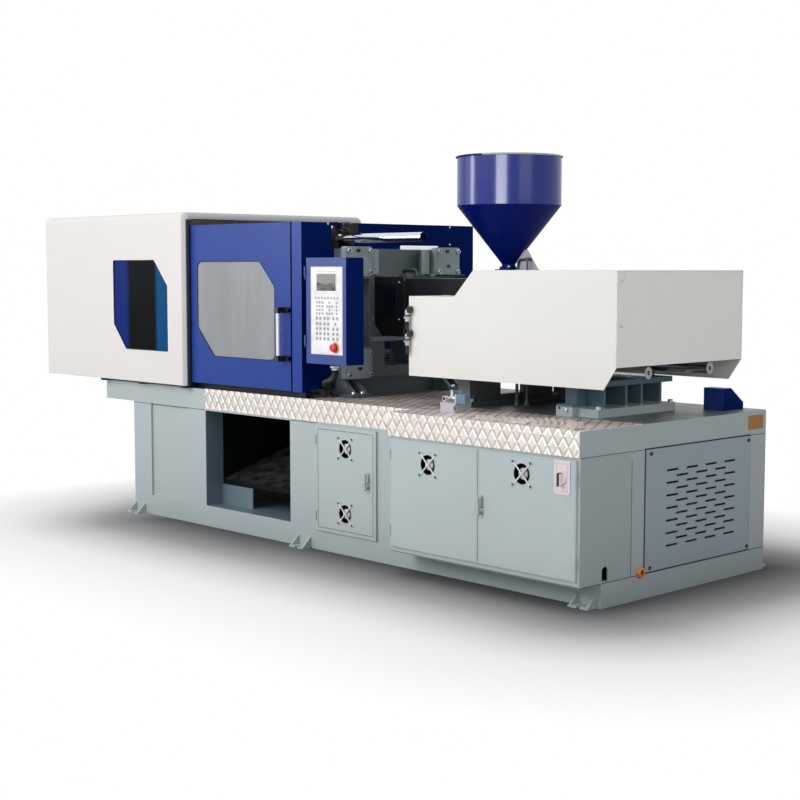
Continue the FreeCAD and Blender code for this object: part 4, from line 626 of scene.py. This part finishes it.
FINISHES = [
    (bed_paint("bed enamel"), "bed_frame"),
    (tread_sheet("tread plate"), "tread_plate"),
    (enamel("chute enamel", linear(15, 18, 20), 0.5, 0.06, spread=0.2), "drop_chute"),
    (enamel("louvre enamel", linear(146, 160, 167), 0.45), "louvre_panel"),
    # Painted shade: the cabinet's faces across the machine are a darker grey.
    (enamel("cabinet enamel", GREY, 0.42, ends=tone(GREY, 0.80)), "electrical_cabinet"),
    (moulded("switchgear plastic", (120, 122, 122), 0.5), "switchgear_plate"),
    (door_paint("service door enamel", [(0.147, 0.561), (0.145, 0.219)], -0.652), "service_door"),
    (door_paint("left door enamel", [(0.909, 0.566)], -0.802), "cabinet_door_left"),
    (door_paint("right door enamel", [(1.505, 0.584)], -0.802), "cabinet_door_right"),
    (banded("main switch", (226, 222, 222), (20, 20, 22), "x", 1.7325, 1.7465), "main_switch"),
    (platen_paint("fixed platen enamel"), "fixed_platen"),
    (enamel("casting enamel", CASTING, 0.5, peel=0.0005, spread=0.12), "moving_platen injection_housing"),
    # Painted shade: the gate's rails are near black, for the shade under and above the gate.
    (enamel("rail shade enamel", linear(16, 20, 34), 0.42, 0.2, spread=0.12), "gate_rails"),
    (hood_paint("hood enamel"), "hood"),
    (view_painted_pane("hood pane"), "hood_window"),
    (gate_pane("gate pane", linear(146, 150, 153), 0.93, 0.34, 0.12), "front_gate_window"),
    (banded("gate handle", (18, 18, 20), (224, 222, 222), "z", 1.027, 1.254, 0.2), "gate_handle"),
    # Painted shade: the control door's faces across the machine take the deeper navy.
    (enamel("control door enamel", (0.060, 0.096, 0.310, 1), 0.30, 0.12, ends=NAVY_END_SHADE), "control_door"),
    (moulded("red plastic", (214, 44, 48), 0.25, shine=0.6), "emergency_stop"),
    (bridge_paint("bridge enamel"), "injection_base"),
    (support_paint("support enamel"), "rear_support"),
    (bare_metal("heater steel", (160, 140, 112), 0.4, (1, 0.2, 0.2)), "heater_bands"),
    (bare_metal("machined steel", (168, 168, 170), 0.33, (0.1, 1, 1)),
     "ejector_plate crosshead barrel screw"),
    (enamel("white enamel", linear(236, 233, 228), 0.40, 0.35, spread=0.015),
     "injection_cover cover_end_plate"),
    (enamel("black enamel", linear(17, 17, 20), 0.40, 0.35, spread=0.2),
     "latch_bracket safety_latch purge_guard barrel_shield"),
    (spun_paint("spun hopper enamel"), "hopper"),
    (hopper_enamel, "hopper_base"),
    (navy_enamel, "tail_platen gate_post front_gate rear_gate control_box terminal_box"),
    (dark_enamel, "clamp_cylinder thrust_plate"),
    (chrome, "tie_bars safety_bar guide_rods"),
    (zinc, "service_lock cabinet_lock"),
    (black_plastic, "hopper_slide"),
]
node_finish = {name: finish for finish, names in FINISHES for name in names.split()}
for name, node in nodes.items():
    finish = node_finish.get(name) or (dark_enamel if "links" in name else fan_plastic)
    node.data.materials.clear()
    node.data.materials.append(finish)


# ---------------- the conduit

HOSE_RADIUS, RIB_HEIGHT, RIB_PITCH = 18.0, 2.0, 12.0
CONDUIT_ROUTE = [(9, -596, 984), (9, -596, 920), (-150, -545, 880), (-166, -492, 860), (-166, -492, 801.1)]


def corrugated_conduit():
    """A ribbed hose along the route's spline: radius = 18 + 2 * wave, with one wave to each rib's pitch."""
    line = smooth_line(CONDUIT_ROUTE, 120)
    gone = np.concatenate([[0], np.cumsum(np.linalg.norm(np.diff(line, axis=0), axis=1))])
    ribs = HOSE_RADIUS + RIB_HEIGHT * np.clip(1.5 * np.sin(gone * 2 * np.pi / RIB_PITCH), -1, 1)
    hose = piece("conduit_hose", [tube(line, ribs, 20, (0.3, 1, 0.1))], hose_rubber, smooth=60)
    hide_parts("conduit")


corrugated_conduit()


# ---------------- the control box

KEYPAD_FACE = -677.5
STOP = (103, 1086)
# Heights of the keys' rows: soft keys under the display, small keys, large keys and one shorter row.
SOFT_ROW, SMALL_ROWS = 1341, (1318, 1298, 1279, 1261)
LARGE_ROWS, SHORT_ROW = (1236, 1182, 1156, 1130), 1207


def spread_out(outline, count):
    """The same closed outline with count more points evenly along it."""
    closed = np.concatenate([outline, outline[:1]])
    gone = np.concatenate([[0], np.cumsum(np.linalg.norm(np.diff(closed, axis=0), axis=1))])
    steps = np.union1d(gone[:-1], np.linspace(0, gone[-1], count, endpoint=False))
    return np.stack([np.interp(steps, gone, closed[:, part]) for part in (0, 1)], axis=1)


def pierced_slab(outline, centre, radius, back, front, axis="y"):
    """A plate with a round hole: rings of the outline and of the hole's circle at the same angles."""
    outline = spread_out(outline, 60)
    centre = np.array(centre, float)
    out = outline - centre
    hole = centre + radius * out / np.linalg.norm(out, axis=1)[:, None]
    rings = [(outline, back), (outline, front), (hole, front), (hole, back)]
    points = np.concatenate([flat_to_space(ring, level, axis) for ring, level in rings])
    return points, faces_between(4, len(outline), True, True)


def keypad():
    """The membrane keypad: a plate round the emergency stop, a border line, a display and the keys."""
    door = "control_door"
    face = KEYPAD_FACE - 0.8
    plate = oblong((-92, 158), (1047, 1503), 6)
    piece("keypad_membrane", [pierced_slab(plate, STOP, 22.4, KEYPAD_FACE + 1.5, face)], membrane, door)
    line = [(-1, 0), (1, 0), (1, -0.4), (-1, -0.4)]
    piece("keypad_border", [band(oblong((-88, 154), (1051, 1499), 5), line, face)], pink_line, door)
    piece("display_border", [band(oblong((-53, 112), (1366, 1478), 3), line, face)], key_film, door)
    glass = slab(oblong((-45, 107), (1378, 1466), 2), face, face - 0.6, bevel=0.3)
    piece("display_glass", [glass], display, door)
    small_keys = [(x, 0, SOFT_ROW) for x in np.linspace(-53, 121, 8)]
    for row, z in enumerate(SMALL_ROWS):
        middle = (38, 57, 78) if row % 2 else (57,)
        small_keys += [(x, 0, z) for x in (-43, -21, 2, *middle, 114)]
    large_keys = [(x, 0, z) for z in LARGE_ROWS for x in (-43, -16, 18, 46, 88, 118)]
    large_keys += [(x, 0, SHORT_ROW) for x in (-43, -16, 18, 46, 103)]
    for name, keys, wide, high in (("small_keys", small_keys, 16, 13), ("large_keys", large_keys, 21, 19)):
        outline = oblong((-wide / 2, wide / 2), (-high / 2, high / 2), 2.5, 2)
        cap = slab(outline, face, face - 0.5, bevel=0.25)
        sign = slab(oblong((-wide / 4, wide / 4), (-high / 5, high / 5), 1.2, 2), face - 0.5, face - 0.65)
        foot = slab(oblong((-wide / 4 - 1, wide / 5), (-high / 2.4, -high / 3.2)), face - 0.5, face - 0.65)
        piece(name, [copies(cap, keys)], key_film, door)
        piece(name + "_signs", [copies(sign, keys), copies(foot, keys)], key_ink, door)
    ring = [(22.6, 0), (29, 0), (29, -2), (27, -4.5), (24, -5.5), (22.6, -5.5), (22.6, 0)]
    piece("stop_collar", [turned(ring, (STOP[0], face, STOP[1]), "y", 32)], orange_plastic, door)


def conduit_ends():
    """The nut under the control box and the grommet on the deck, both round the conduit."""
    x, y, z = CONDUIT_ROUTE[0]
    nut = [(21, 0), (29, 0), (29, -9), (26, -12), (21, -12), (21, 0)]
    collar = [(21, -12), (24, -12), (24, -20), (22, -24), (21, -24), (21, -12)]
    piece("conduit_nut", [turned(nut, (x, y, z), "z", 6), turned(collar, (x, y, z), "z", 24)], zinc)
    x, y, z = CONDUIT_ROUTE[-1]
    ring = [(21, 0), (33, 0), (33, 3), (29, 8), (24, 12), (21, 12), (21, 0)]
    piece("conduit_grommet", [turned(ring, (x, y, z), "z", 28)], rubber)


keypad()
conduit_ends()


# ---------------- doors, fans and switches

CABINET_FACE = -802
SERVICE_FACE = -652
FANS = [("service_door", 147, 561, SERVICE_FACE), ("service_door", 145, 219, SERVICE_FACE),
        ("cabinet_door_left", 909, 566, CABINET_FACE), ("cabinet_door_right", 1505, 584, CABINET_FACE)]


FAN_SCREWS = 105


def fan_guard(number, body, x, z, face):
    """Crossed arms that end in loops round four dark screws, and the rotor's pale cap behind them."""
    reach = FAN_SCREWS / 2
    arm_end = reach * math.sqrt(2) - 8
    arm = oblong((-2.6, 2.6), (-arm_end, arm_end), 2, 2)
    arms = []
    for turn in (math.radians(45), math.radians(-45)):
        spin = np.array([[math.cos(turn), math.sin(turn)], [-math.sin(turn), math.cos(turn)]])
        arms.append(slab(arm @ spin + (x, z), face - 2.0, face - 4.2, bevel=0.9))
    corners = lattice((-reach, reach), [0], (-reach, reach))
    loop = [(7.2, 0), (10, 0), (10, -1.6), (9.2, -2.4), (8, -2.4), (7.2, -1.6), (7.2, 0)]
    loops = copies(turned(loop, (x, face - 1.8, z), "y", 20), corners)
    rim = [(47.5, 0), (50.6, 0), (50.6, -1.2), (49, -1.8), (47.5, -1.2), (47.5, 0)]
    piece(f"fan_guard_{number}", [*arms, loops], wire, body)
    piece(f"fan_rim_{number}", [turned(rim, (x, face, z), "y", 48)], grey_enamel, body)
    screw = turned(socket_screw(7, 6.2), (x, face, z), "-y", 16)
    piece(f"fan_screws_{number}", [copies(screw, corners)], fan_plastic, body)
    cap = [(0, -6), (20, -5.4), (25, -3.6), (27, -0.6), (27, 2), (0, 2)]
    piece(f"fan_cap_{number}", [turned(cap, (x, face + 11, z), "y", 32)], hub_plastic,
          f"fan_rotor_{number}")


for number, (body, x, z, face) in enumerate(FANS, 1):
    fan_guard(number, body, x, z, face)


SWITCH = (1739.5, 592)


def switch_plate():
    """The main switch's plate: a film with two border lines and four bright screws."""
    plate = oblong((1694.5, 1784.5), (517.5, 666.5), 6)
    base = CABINET_FACE - 3
    piece("switch_film", [slab(plate, base, base - 0.25)], switch_film, "cabinet_door_right")
    line = [(-0.7, 0), (0.7, 0), (0.7, -0.5), (-0.7, -0.5)]
    piece("switch_lines", [band(oblong((1706, 1773), (529, 655), 10), line, base - 0.2),
                           band(oblong((1709.5, 1769.5), (533, 651), 8), line, base - 0.2)], pink_line,
          "cabinet_door_right")
    screw = turned(domed(4.5, 2.4), (SWITCH[0], base, SWITCH[1]), "-y", 16)
    piece("switch_screws", [copies(screw, lattice((-38, 38), [0], (-67, 67)))], zinc, "cabinet_door_right")


def door_lines():
    """Pressed border lines on the doors, each a low rib inside the door's edge; the service door's rib is
    dark as painted shade.
    """
    rib = [(-2, 0.2), (-1.2, -1.3), (1.2, -1.3), (2, 0.2)]
    border = oblong((-72, 360), (128, 651), 10)
    # Painted shade: the service door's rib is dark.
    piece("service_door_rib", [band(border, rib, SERVICE_FACE)], key_ink, "service_door")
    edge = [(-1.2, 0.2), (-0.8, -1.0), (0.8, -1.0), (1.2, 0.2)]
    for body, left, right in (("cabinet_door_left", 645, 1233), ("cabinet_door_right", 1237, 1816)):
        piece(body + "_rib", [band(oblong((left + 7, right - 7), (149, 665), 5), edge, CABINET_FACE)],
              grey_enamel, body)


def lock_plates():
    """A rounded plate behind each quarter-turn lock, pierced for its barrel."""
    for body, x, z, face in (("service_door", 320, 385, SERVICE_FACE),
                             ("cabinet_door_right", 1254, 390, CABINET_FACE)):
        plate = pierced_slab(oblong((x - 17, x + 17), (z - 34, z + 72), 12), (x, z), 16.4, face, face - 2.2)
        piece(body + "_lock_plate", [plate], zinc, body)


switch_plate()
door_lines()
lock_plates()


# ---------------- the bed's end and deck

END = 1830
GLAND = (END, -362, 126)
BRIDGE_FOOT, REAR_FOOT = 827, 838
PLINTH_FACE, BASE_FACE = -640, -790


def end_details():
    """What is fixed to the bed's end: cable gland, bare plate, the louvre panel's gap and the seams."""
    gland = [(26, 0), (26, 5), (22, 12), (13, 15), (12, 12), (12, 1), (0, 1), (0, 0), (26, 0)]
    piece("end_gland", [turned(gland, GLAND, "x", 32)], orange_plastic)
    core = [(0, 11), (6, 10.6), (11.8, 8), (11.8, 1), (0, 1)]
    piece("end_gland_core", [turned(core, GLAND, "x", 24)], rubber)
    plate = slab(oblong((483, 612), (709, 779), 4), END, END + 1.6, "x", 0.5)
    rivet = turned(domed(3, 1.6), (END + 1.6, 547.5, 744), "x", 12)
    piece("bare_plate", [plate, copies(rivet, lattice([0], (-58, 58), (-29, 29)))], brass)
    groove = [(0.4, 0), (7, 0), (7, 0.5), (0.4, 0.5)]
    piece("panel_gap", [band(oblong((-331, 499), (120, 680)), groove, END, "x")], gap_shadow)
    seams = [((-431.5, -428.5), (114, 640)), ((-788, 636), (112, 115)), ((-788, 636), (680.5, 683))]
    piece("end_seams", [slab(oblong(*limits), END, END + 0.4, "x") for limits in seams], gap_shadow)
    screw = turned(socket_screw(8.5, 5), (END + 4, 0, 0), "x", 16)
    piece("panel_screws", [copies(screw, lattice([0], (-296, 484), (136, 660)))], fan_plastic)


def bed_lines():
    """The folded ledge over the plinth's front and the cabinet's base line, as low ribs."""
    ledge = [slab(oblong(across, (676, 679)), PLINTH_FACE, PLINTH_FACE - 0.6)
             for across in ((-1826, -1094), (-314, -96))]
    base = slab(oblong((634, 1828), (116, 118.5)), BASE_FACE, BASE_FACE - 0.5)
    piece("front_seams", [*ledge, base], gap_shadow)


def deck_bolts():
    """Six-sided bolts on washers, which hold the two bridges to the deck."""
    washer = turned([(0, 3), (19, 3), (20, 2), (20, 0), (0, 0)], (0, 0, 0), "z", 24)
    head = turned(hexagon(14, 12), (0, 0, 3), "z", 6)
    places = lattice((606, 734), (-324, 324), [BRIDGE_FOOT]) + lattice((1306, 1515), (-278, 278), [REAR_FOOT])
    piece("deck_bolts", [copies(part, places) for part in (washer, head)], zinc)
    stud_nut = turned(hexagon(15, 14), (0, 0, 0), "z", 6)
    piece("stud_nuts", [copies(stud_nut, [(822, -79, 915), (857, -42, 915)])], zinc)
    screw = turned(hexagon(12, 9), (1368, -334, 832), "-y", 6)
    hole = turned([(0, 0.4), (7, 0.4), (7, 0), (0, 0)], (1322, -334, 836), "-y", 16)
    piece("level_bolt", [screw], zinc)
    piece("level_hole", [hole], gap_shadow)


end_details()
bed_lines()
deck_bolts()


# ---------------- the clamp and its guards

HOOD_WINDOW = [(-1951, 1542), (-1513, 1542), (-1378, 1390), (-1378, 1006), (-1820, 1006), (-1951, 1155)]
GATE_WINDOW = [(-1142, 1534), (-562, 1534), (-430, 1395), (-430, 993), (-984, 993), (-1142, 1155)]
HOOD_FACE = -695
GATE_FACE = -650
GATE_CORNER = 44
PLATE_FACE = -90
GUARD_FACE, GUARD_TOP = -240, 1450
LATCH_PIN = (-250, 1722)


def window_beads():
    """A rubber lip and a pale edge as a painted highlight round the hood's window, and a painted lip round
    the gate's, whose window gets round corners from small fillets."""
    lip = [(-3, 3.5), (-3, -0.8), (-1.8, -2.0), (0.8, -2.0), (1.8, -0.8), (1.8, 0.1), (-1, 0.1), (-1, 3.5)]
    piece("hood_bead", [band(arced(HOOD_WINDOW, 14), lip, HOOD_FACE)], bead_rubber)
    # Painted highlight: a paler white edge round the hood's window.
    pale = [(2.5, 0.1), (3, -1.4), (6.5, -1.4), (8, 0.1)]
    piece("hood_window_highlight", [band(arced(HOOD_WINDOW, 14), pale, HOOD_FACE)], membrane)
    outline = arced(GATE_WINDOW, GATE_CORNER, 6)
    piece("gate_bead", [band(outline, lip, GATE_FACE)], bead_blue, "front_gate")
    curves = outline.reshape(len(GATE_WINDOW), -1, 2)
    fillets = [slab(np.concatenate([[corner], curve]), GATE_FACE + 3, GATE_FACE - 0.3)
               for corner, curve in zip(GATE_WINDOW, curves)]
    piece("gate_window_corners", fillets, navy_enamel, "front_gate")


def platen_details():
    """Heads and sockets of the bar plates' bolts, two drilled holes in each plate, screws in the feet
    and a white strip on the platen's top that glows as painted light."""
    corners = lattice([0], (-76, 76), (-58, 58))
    centres = lattice([0], (-340, 340), (978, 1532))
    seat = (PLATE_FACE + 12, 0, 0)
    head = turned([(0, 2), (6.5, 2), (7.6, 4), (11.5, 4), (13, 2.6), (13, 0), (0, 0)], seat, "x", 18)
    piece("plate_bolts", [copies(copies(head, corners), centres)], zinc)
    socket = turned([(0, 3.4), (7, 3.4), (7, 2), (0, 2)], seat, "x", 6)
    piece("plate_sockets", [copies(copies(socket, corners), centres)], black_plastic)
    hole = slab(oblong((-16, 16), (-9, 9), 8.5), PLATE_FACE, PLATE_FACE + 0.6, "x")
    piece("plate_holes", [copies(copies(hole, [(0, -4, 58), (0, 6, -26)]), centres)], black_plastic)
    # Painted light: a glowing white strip on the platen's top.
    piece("platen_glowing_strip", [slab(oblong((22, 300), (1598, 1620), 6), -150, -128, "x", 3)], glowing_strip)
    foot = turned(socket_screw(12, 12), (0, 0, 820), "z", 18)
    piece("foot_screws", [copies(foot, lattice([-58], (-350, 350, -414, 414), [0]))], zinc)


def portal_screws():
    """Pale domed screws near the upper edge of the portal's sheet."""
    places = [(-190, -473, 1733), (-190, 457, 1729), (-190, 457, 1631)]
    piece("portal_screws", [copies(turned(domed(6.5, 3), (0, 0, 0), "x", 16), places)], white_plastic)


def latch_washers():
    """Bright washers on the two ends of the latch's pivot pin."""
    collar = [(9.2, 0), (15, 0), (15, 4), (13, 6), (0, 6), (0, 0), (9.2, 0)]
    x, z = LATCH_PIN
    ends = (-288, "y"), (-392, "-y")
    piece("latch_washers", [turned(collar, (x, y, z), way, 24) for y, way in ends], zinc)


def guard_screws():
    """Screws beside the purge guard's window, a film in it, and a stout bow handle on the top's edge."""
    guard = "purge_guard"
    screw = turned(domed(5, 2.6), (0, GUARD_FACE, 0), "-y", 14)
    piece("guard_screws", [copies(screw, lattice((-86, 116), [0], (1222, 1420)))], zinc, guard)
    pane = slab(oblong((-69, 95), (1235, 1405), 12), GUARD_FACE + 1.4, GUARD_FACE + 0.4, bevel=0.4)
    piece("guard_film", [pane], guard_film, guard)
    route = [(x, -110, z) for x, z in ((16, 1451), (16, 1474), (30, 1485),
                                       (110, 1485), (124, 1474), (124, 1451))]
    lugs = [slab(oblong((x - 18, x + 18), (-124, -96), 5), GUARD_TOP, GUARD_TOP + 9, "z", 2)
            for x in (12, 128)]
    bow = tube(smooth_line(route, 8), 10, 16, (0, 1, 0))
    piece("guard_handle", [bow, *lugs], black_plastic, guard)


window_beads()
platen_details()
portal_screws()
latch_washers()
guard_screws()


# ---------------- the injection unit

HOPPER_X, HOPPER_EDGE, HOPPER_TOP, ROLLED = 688, 271.0, 2062, 5
FLANGE_TOP, FLANGE_SCREWS = 1502, 41
HANDLE_Y = -10.6
COVER_FACE = -490
ROOF = 1355
ELBOWS = [(486, -508, 1287), (486, -508, 1166)]


def hose_fittings():
    """Two bright elbows on the cover's edge: a nut on the sheet, a bent tube and a ribbed sleeve below,
    whose radius is 9 + 0.9 sin(2 pi drop / 5)."""
    parts, nuts, sleeves = [], [], []
    ring = [(12.7, 0), (15.5, 0), (15.5, 6), (12.7, 6), (12.7, 0)]
    collar = [(12.8, 0), (17, 0), (17, 12), (15, 14), (12.8, 14), (12.8, 0)]
    for x, y, z in ELBOWS:
        down = x - 26
        bend = smooth_line([(x - 4, y, z), (down, y, z), (down, y, z - 26), (down, y, z - 60)], 16)
        nuts.append(turned(hexagon(20, 14), (x, y, z), "-x", 6))
        nuts.append(turned(ring, (down, y, z - 32), "z", 20))
        parts.append(tube(bend, 12.5, 18, (0, 1, 0)))
        parts.append(turned(collar, (down, y, z - 46), "z", 6))
        drop = np.linspace(0, 44, 89)
        line = np.stack([down + 0 * drop, y + 0 * drop, z - 60 - drop], axis=1)
        sleeves.append(tube(line, 9 + 0.9 * np.sin(drop * 2 * np.pi / 5), 14, (0, 1, 0)))
    piece("hose_elbows", parts, chrome, "carriage")
    piece("hose_nuts", nuts, dark_enamel, "carriage")
    piece("hose_sleeves", sleeves, rubber, "carriage")


def hopper_details():
    """The hopper's rolled rim, the bracket's bent handle and the block's screws."""
    angle = np.linspace(0, 2 * np.pi, 13)
    rim = np.stack([HOPPER_EDGE + ROLLED * np.cos(angle), ROLLED * np.sin(angle)], axis=1)
    piece("hopper_rim", [turned(rim, (HOPPER_X, 0, HOPPER_TOP), "z", 96)], hopper_enamel, "carriage")
    route = [(x, HANDLE_Y, z) for x, z in ((760, 1489), (762, 1516), (768, 1535), (792, 1540), (850, 1540))]
    piece("bracket_handle", [tube(smooth_line(route, 12), 6, 14, (0, 1, 0))], black_plastic, "carriage")
    screw = turned(socket_screw(6, 5), (0, 0, FLANGE_TOP), "z", 14)
    reach = FLANGE_SCREWS * math.sqrt(0.5)
    places = lattice((HOPPER_X - reach, HOPPER_X + reach), (-reach, reach), [0])
    piece("flange_screws", [copies(screw, places)], zinc, "carriage")


TREAD_TOP = 800.5
FILM_HEAPS = [(1530, 1800, -742, 34), (1120, 1470, -716, 14), (1250, 1560, -640, 12)]


def film_heap(start, end, middle, high):
    """Peeled film in a heap: rings of a flat loop along x, drawn to a point at both ends and lifted by
    high * (0.25 + |sin(x/17 + y/9) sin(x/7 - y/23)|)."""
    along = np.linspace(start, end, 59)
    turn = np.linspace(0, 2 * np.pi, 22, endpoint=False)
    x = along[:, None] + 6 * np.sin(3 * turn)[None]
    wide = (26 + 12 * np.sin(along / 31))[:, None]
    y = middle + 22 * np.sin(along / 43)[:, None] + wide * np.cos(turn)[None]
    lift = high * (0.25 + np.abs(np.sin(x / 17 + y / 9) * np.sin(x / 7 - y / 23)))
    z = TREAD_TOP + lift * np.clip(np.sin(turn), 0, 1)[None] ** 0.5
    rings = np.stack([x, y, z], axis=-1)
    rings[0], rings[-1] = rings[0].mean(0), rings[-1].mean(0)
    return rings.reshape(-1, 3), faces_between(len(along), len(turn), around_columns=True)


def crumpled_film():
    """Three heaps of film at the deck's front edge, and the dark face of the fluid block's valve."""
    piece("crumpled_film", [film_heap(*heap) for heap in FILM_HEAPS], film, smooth=12)
    face = turned([(0, 1), (8, 1), (9, 0), (0, 0)], (833, -618, 866), "-y", 20)
    piece("valve_face", [face], black_plastic)


def cover_details():
    """Screws on the cover's front and end, its rounded front corner and two slot plates on its low roof."""
    screw = turned(domed(6, 2.6), (0, COVER_FACE, 980), "-y", 14)
    piece("cover_screws", [copies(screw, lattice((480, 1100), [0], [0]))], white_plastic, "carriage")
    screw = turned(domed(6, 3), (1783, -455, 0), "x", 14)
    piece("end_plate_screws", [copies(screw, lattice([0], [0], (1240, 1440)))], zinc, "carriage")
    edge = tube([(1779.5, COVER_FACE + 0.5, z) for z in (1056, 1200, 1400, 1485)], 3.5, 10, (0, 1, 0))
    piece("cover_corner", [edge], white_plastic, "carriage")
    strips = [slab(oblong(across, (-300, -270), 4), ROOF, ROOF + 3, "z", 1)
              for across in ((500, 560), (640, 730))]
    piece("roof_strips", strips, zinc, "carriage")


hose_fittings()
hopper_details()
crumpled_film()
cover_details()


# ---------------- room, light and floor

def area_lamp(name, place, target, power, size):
    lamp = placed(name, bpy.data.lights.new(name, "AREA"))
    lamp.data.energy = power
    lamp.data.shape = "RECTANGLE"
    lamp.data.size, lamp.data.size_y = size
    lamp.location = place
    lamp.rotation_euler = (Vector(target) - Vector(place)).to_track_quat("-Z", "Y").to_euler()
    return lamp


area_lamp("key", (-1.6, -8.6, 5.0), (0.1, -0.5, 0.9), 436, (6, 4))
area_lamp("left", (-9.5, -6.4, 2.4), (-1.0, -0.6, 1.1), 70, (4, 4))
area_lamp("top", (0.5, -0.5, 7.5), (0.0, 0.0, 0.5), 150, (8, 4))
area_lamp("side", (8.0, -1.6, 3.6), (1.0, 0.0, 1.1), 96, (4, 3))
area_lamp("broad gloss", (3.94, -6.76, 2.3), (0.7, 0.0, 1.9), 300, (3.0, 1.2)).visible_diffuse = False
area_lamp("narrow gloss", (-4.2, -5.0, 2.3), (0.7, 0.0, 1.9), 75, (1.1, 1.2)).visible_diffuse = False

world = bpy.data.worlds.new("room")
bpy.context.scene.world = world
world.use_nodes = True
sky = world.node_tree
sky.nodes.clear()
paths = sky.nodes.new("ShaderNodeLightPath")


def either_ray(first, second):
    either = sky.nodes.new("ShaderNodeMath")
    either.operation = "MAXIMUM"
    sky.links.new(first, either.inputs[0])
    sky.links.new(second, either.inputs[1])
    return either.outputs[0]


seen = either_ray(either_ray(paths.outputs["Is Camera Ray"], paths.outputs["Is Transmission Ray"]),
                  paths.outputs["Is Glossy Ray"])
join = sky.nodes.new("ShaderNodeMixShader")
world_out = sky.nodes.new("ShaderNodeOutputWorld")
sky.links.new(seen, join.inputs[0])
ROOM_LIGHT, BACKDROP = ((0.94, 0.97, 1.0, 1), 0.36), ((1, 1, 1, 1), 1.0)
for place, (colour, strength) in enumerate((ROOM_LIGHT, BACKDROP), 1):
    light = sky.nodes.new("ShaderNodeBackground")
    light.inputs["Color"].default_value = colour
    light.inputs["Strength"].default_value = strength
    sky.links.new(light.outputs[0], join.inputs[place])
sky.links.new(join.outputs[0], world_out.inputs[0])


def studio_floor():
    """A flat floor with a painted shadow: dark close to the plinth, paler outwards, and plain white where the
    backdrop begins.

    The distance from the plinth is the length of (max(|x| - a, 0), max(|y| - b, 0))."""
    mesh = bpy.data.meshes.new("floor")
    mesh.from_pydata([(-60, -60, 0), (60, -60, 0), (60, 60, 0), (-60, 60, 0)], [], [[0, 1, 2, 3]])
    floor = placed("floor", mesh)
    paint = Finish("floor")
    middle, half_long, half_wide = 0.2, 1.62, 0.66
    beyond_x = paint.minus(paint.math("ABSOLUTE", paint.minus(paint.x, middle)), half_long)
    beyond_y = paint.minus(paint.math("ABSOLUTE", paint.y), half_wide)
    gap = paint.length(paint.math("MAXIMUM", beyond_x), paint.math("MAXIMUM", beyond_y))
    # Painted shadow: the floor's colour darkens towards the plinth.
    near = paint.ramp(gap, 0.0, 0.95)
    paint.set(Base_Color=paint.mix(near, (0.115, 0.115, 0.12, 1), (0.80, 0.80, 0.80, 1)), Roughness=0.9,
              Specular_IOR_Level=0.0)
    white = paint.node("ShaderNodeEmission", {"Color": (1, 1, 1, 1), "Strength": 1.0})
    rays = paint.node("ShaderNodeLightPath")
    shown = paint.product(paint.ramp(gap, 0.40, 1.65), rays.outputs["Is Camera Ray"])
    blend = paint.node("ShaderNodeMixShader", {0: shown})
    paint.tree.links.new(paint.shader.outputs[0], blend.inputs[1])
    paint.tree.links.new(white.outputs[0], blend.inputs[2])
    paint.tree.links.new(blend.outputs[0], paint.tree.nodes["Material Output"].inputs[0])
    mesh.materials.append(paint.material)


studio_floor()
bpy.context.scene.view_settings.view_transform = "Standard"
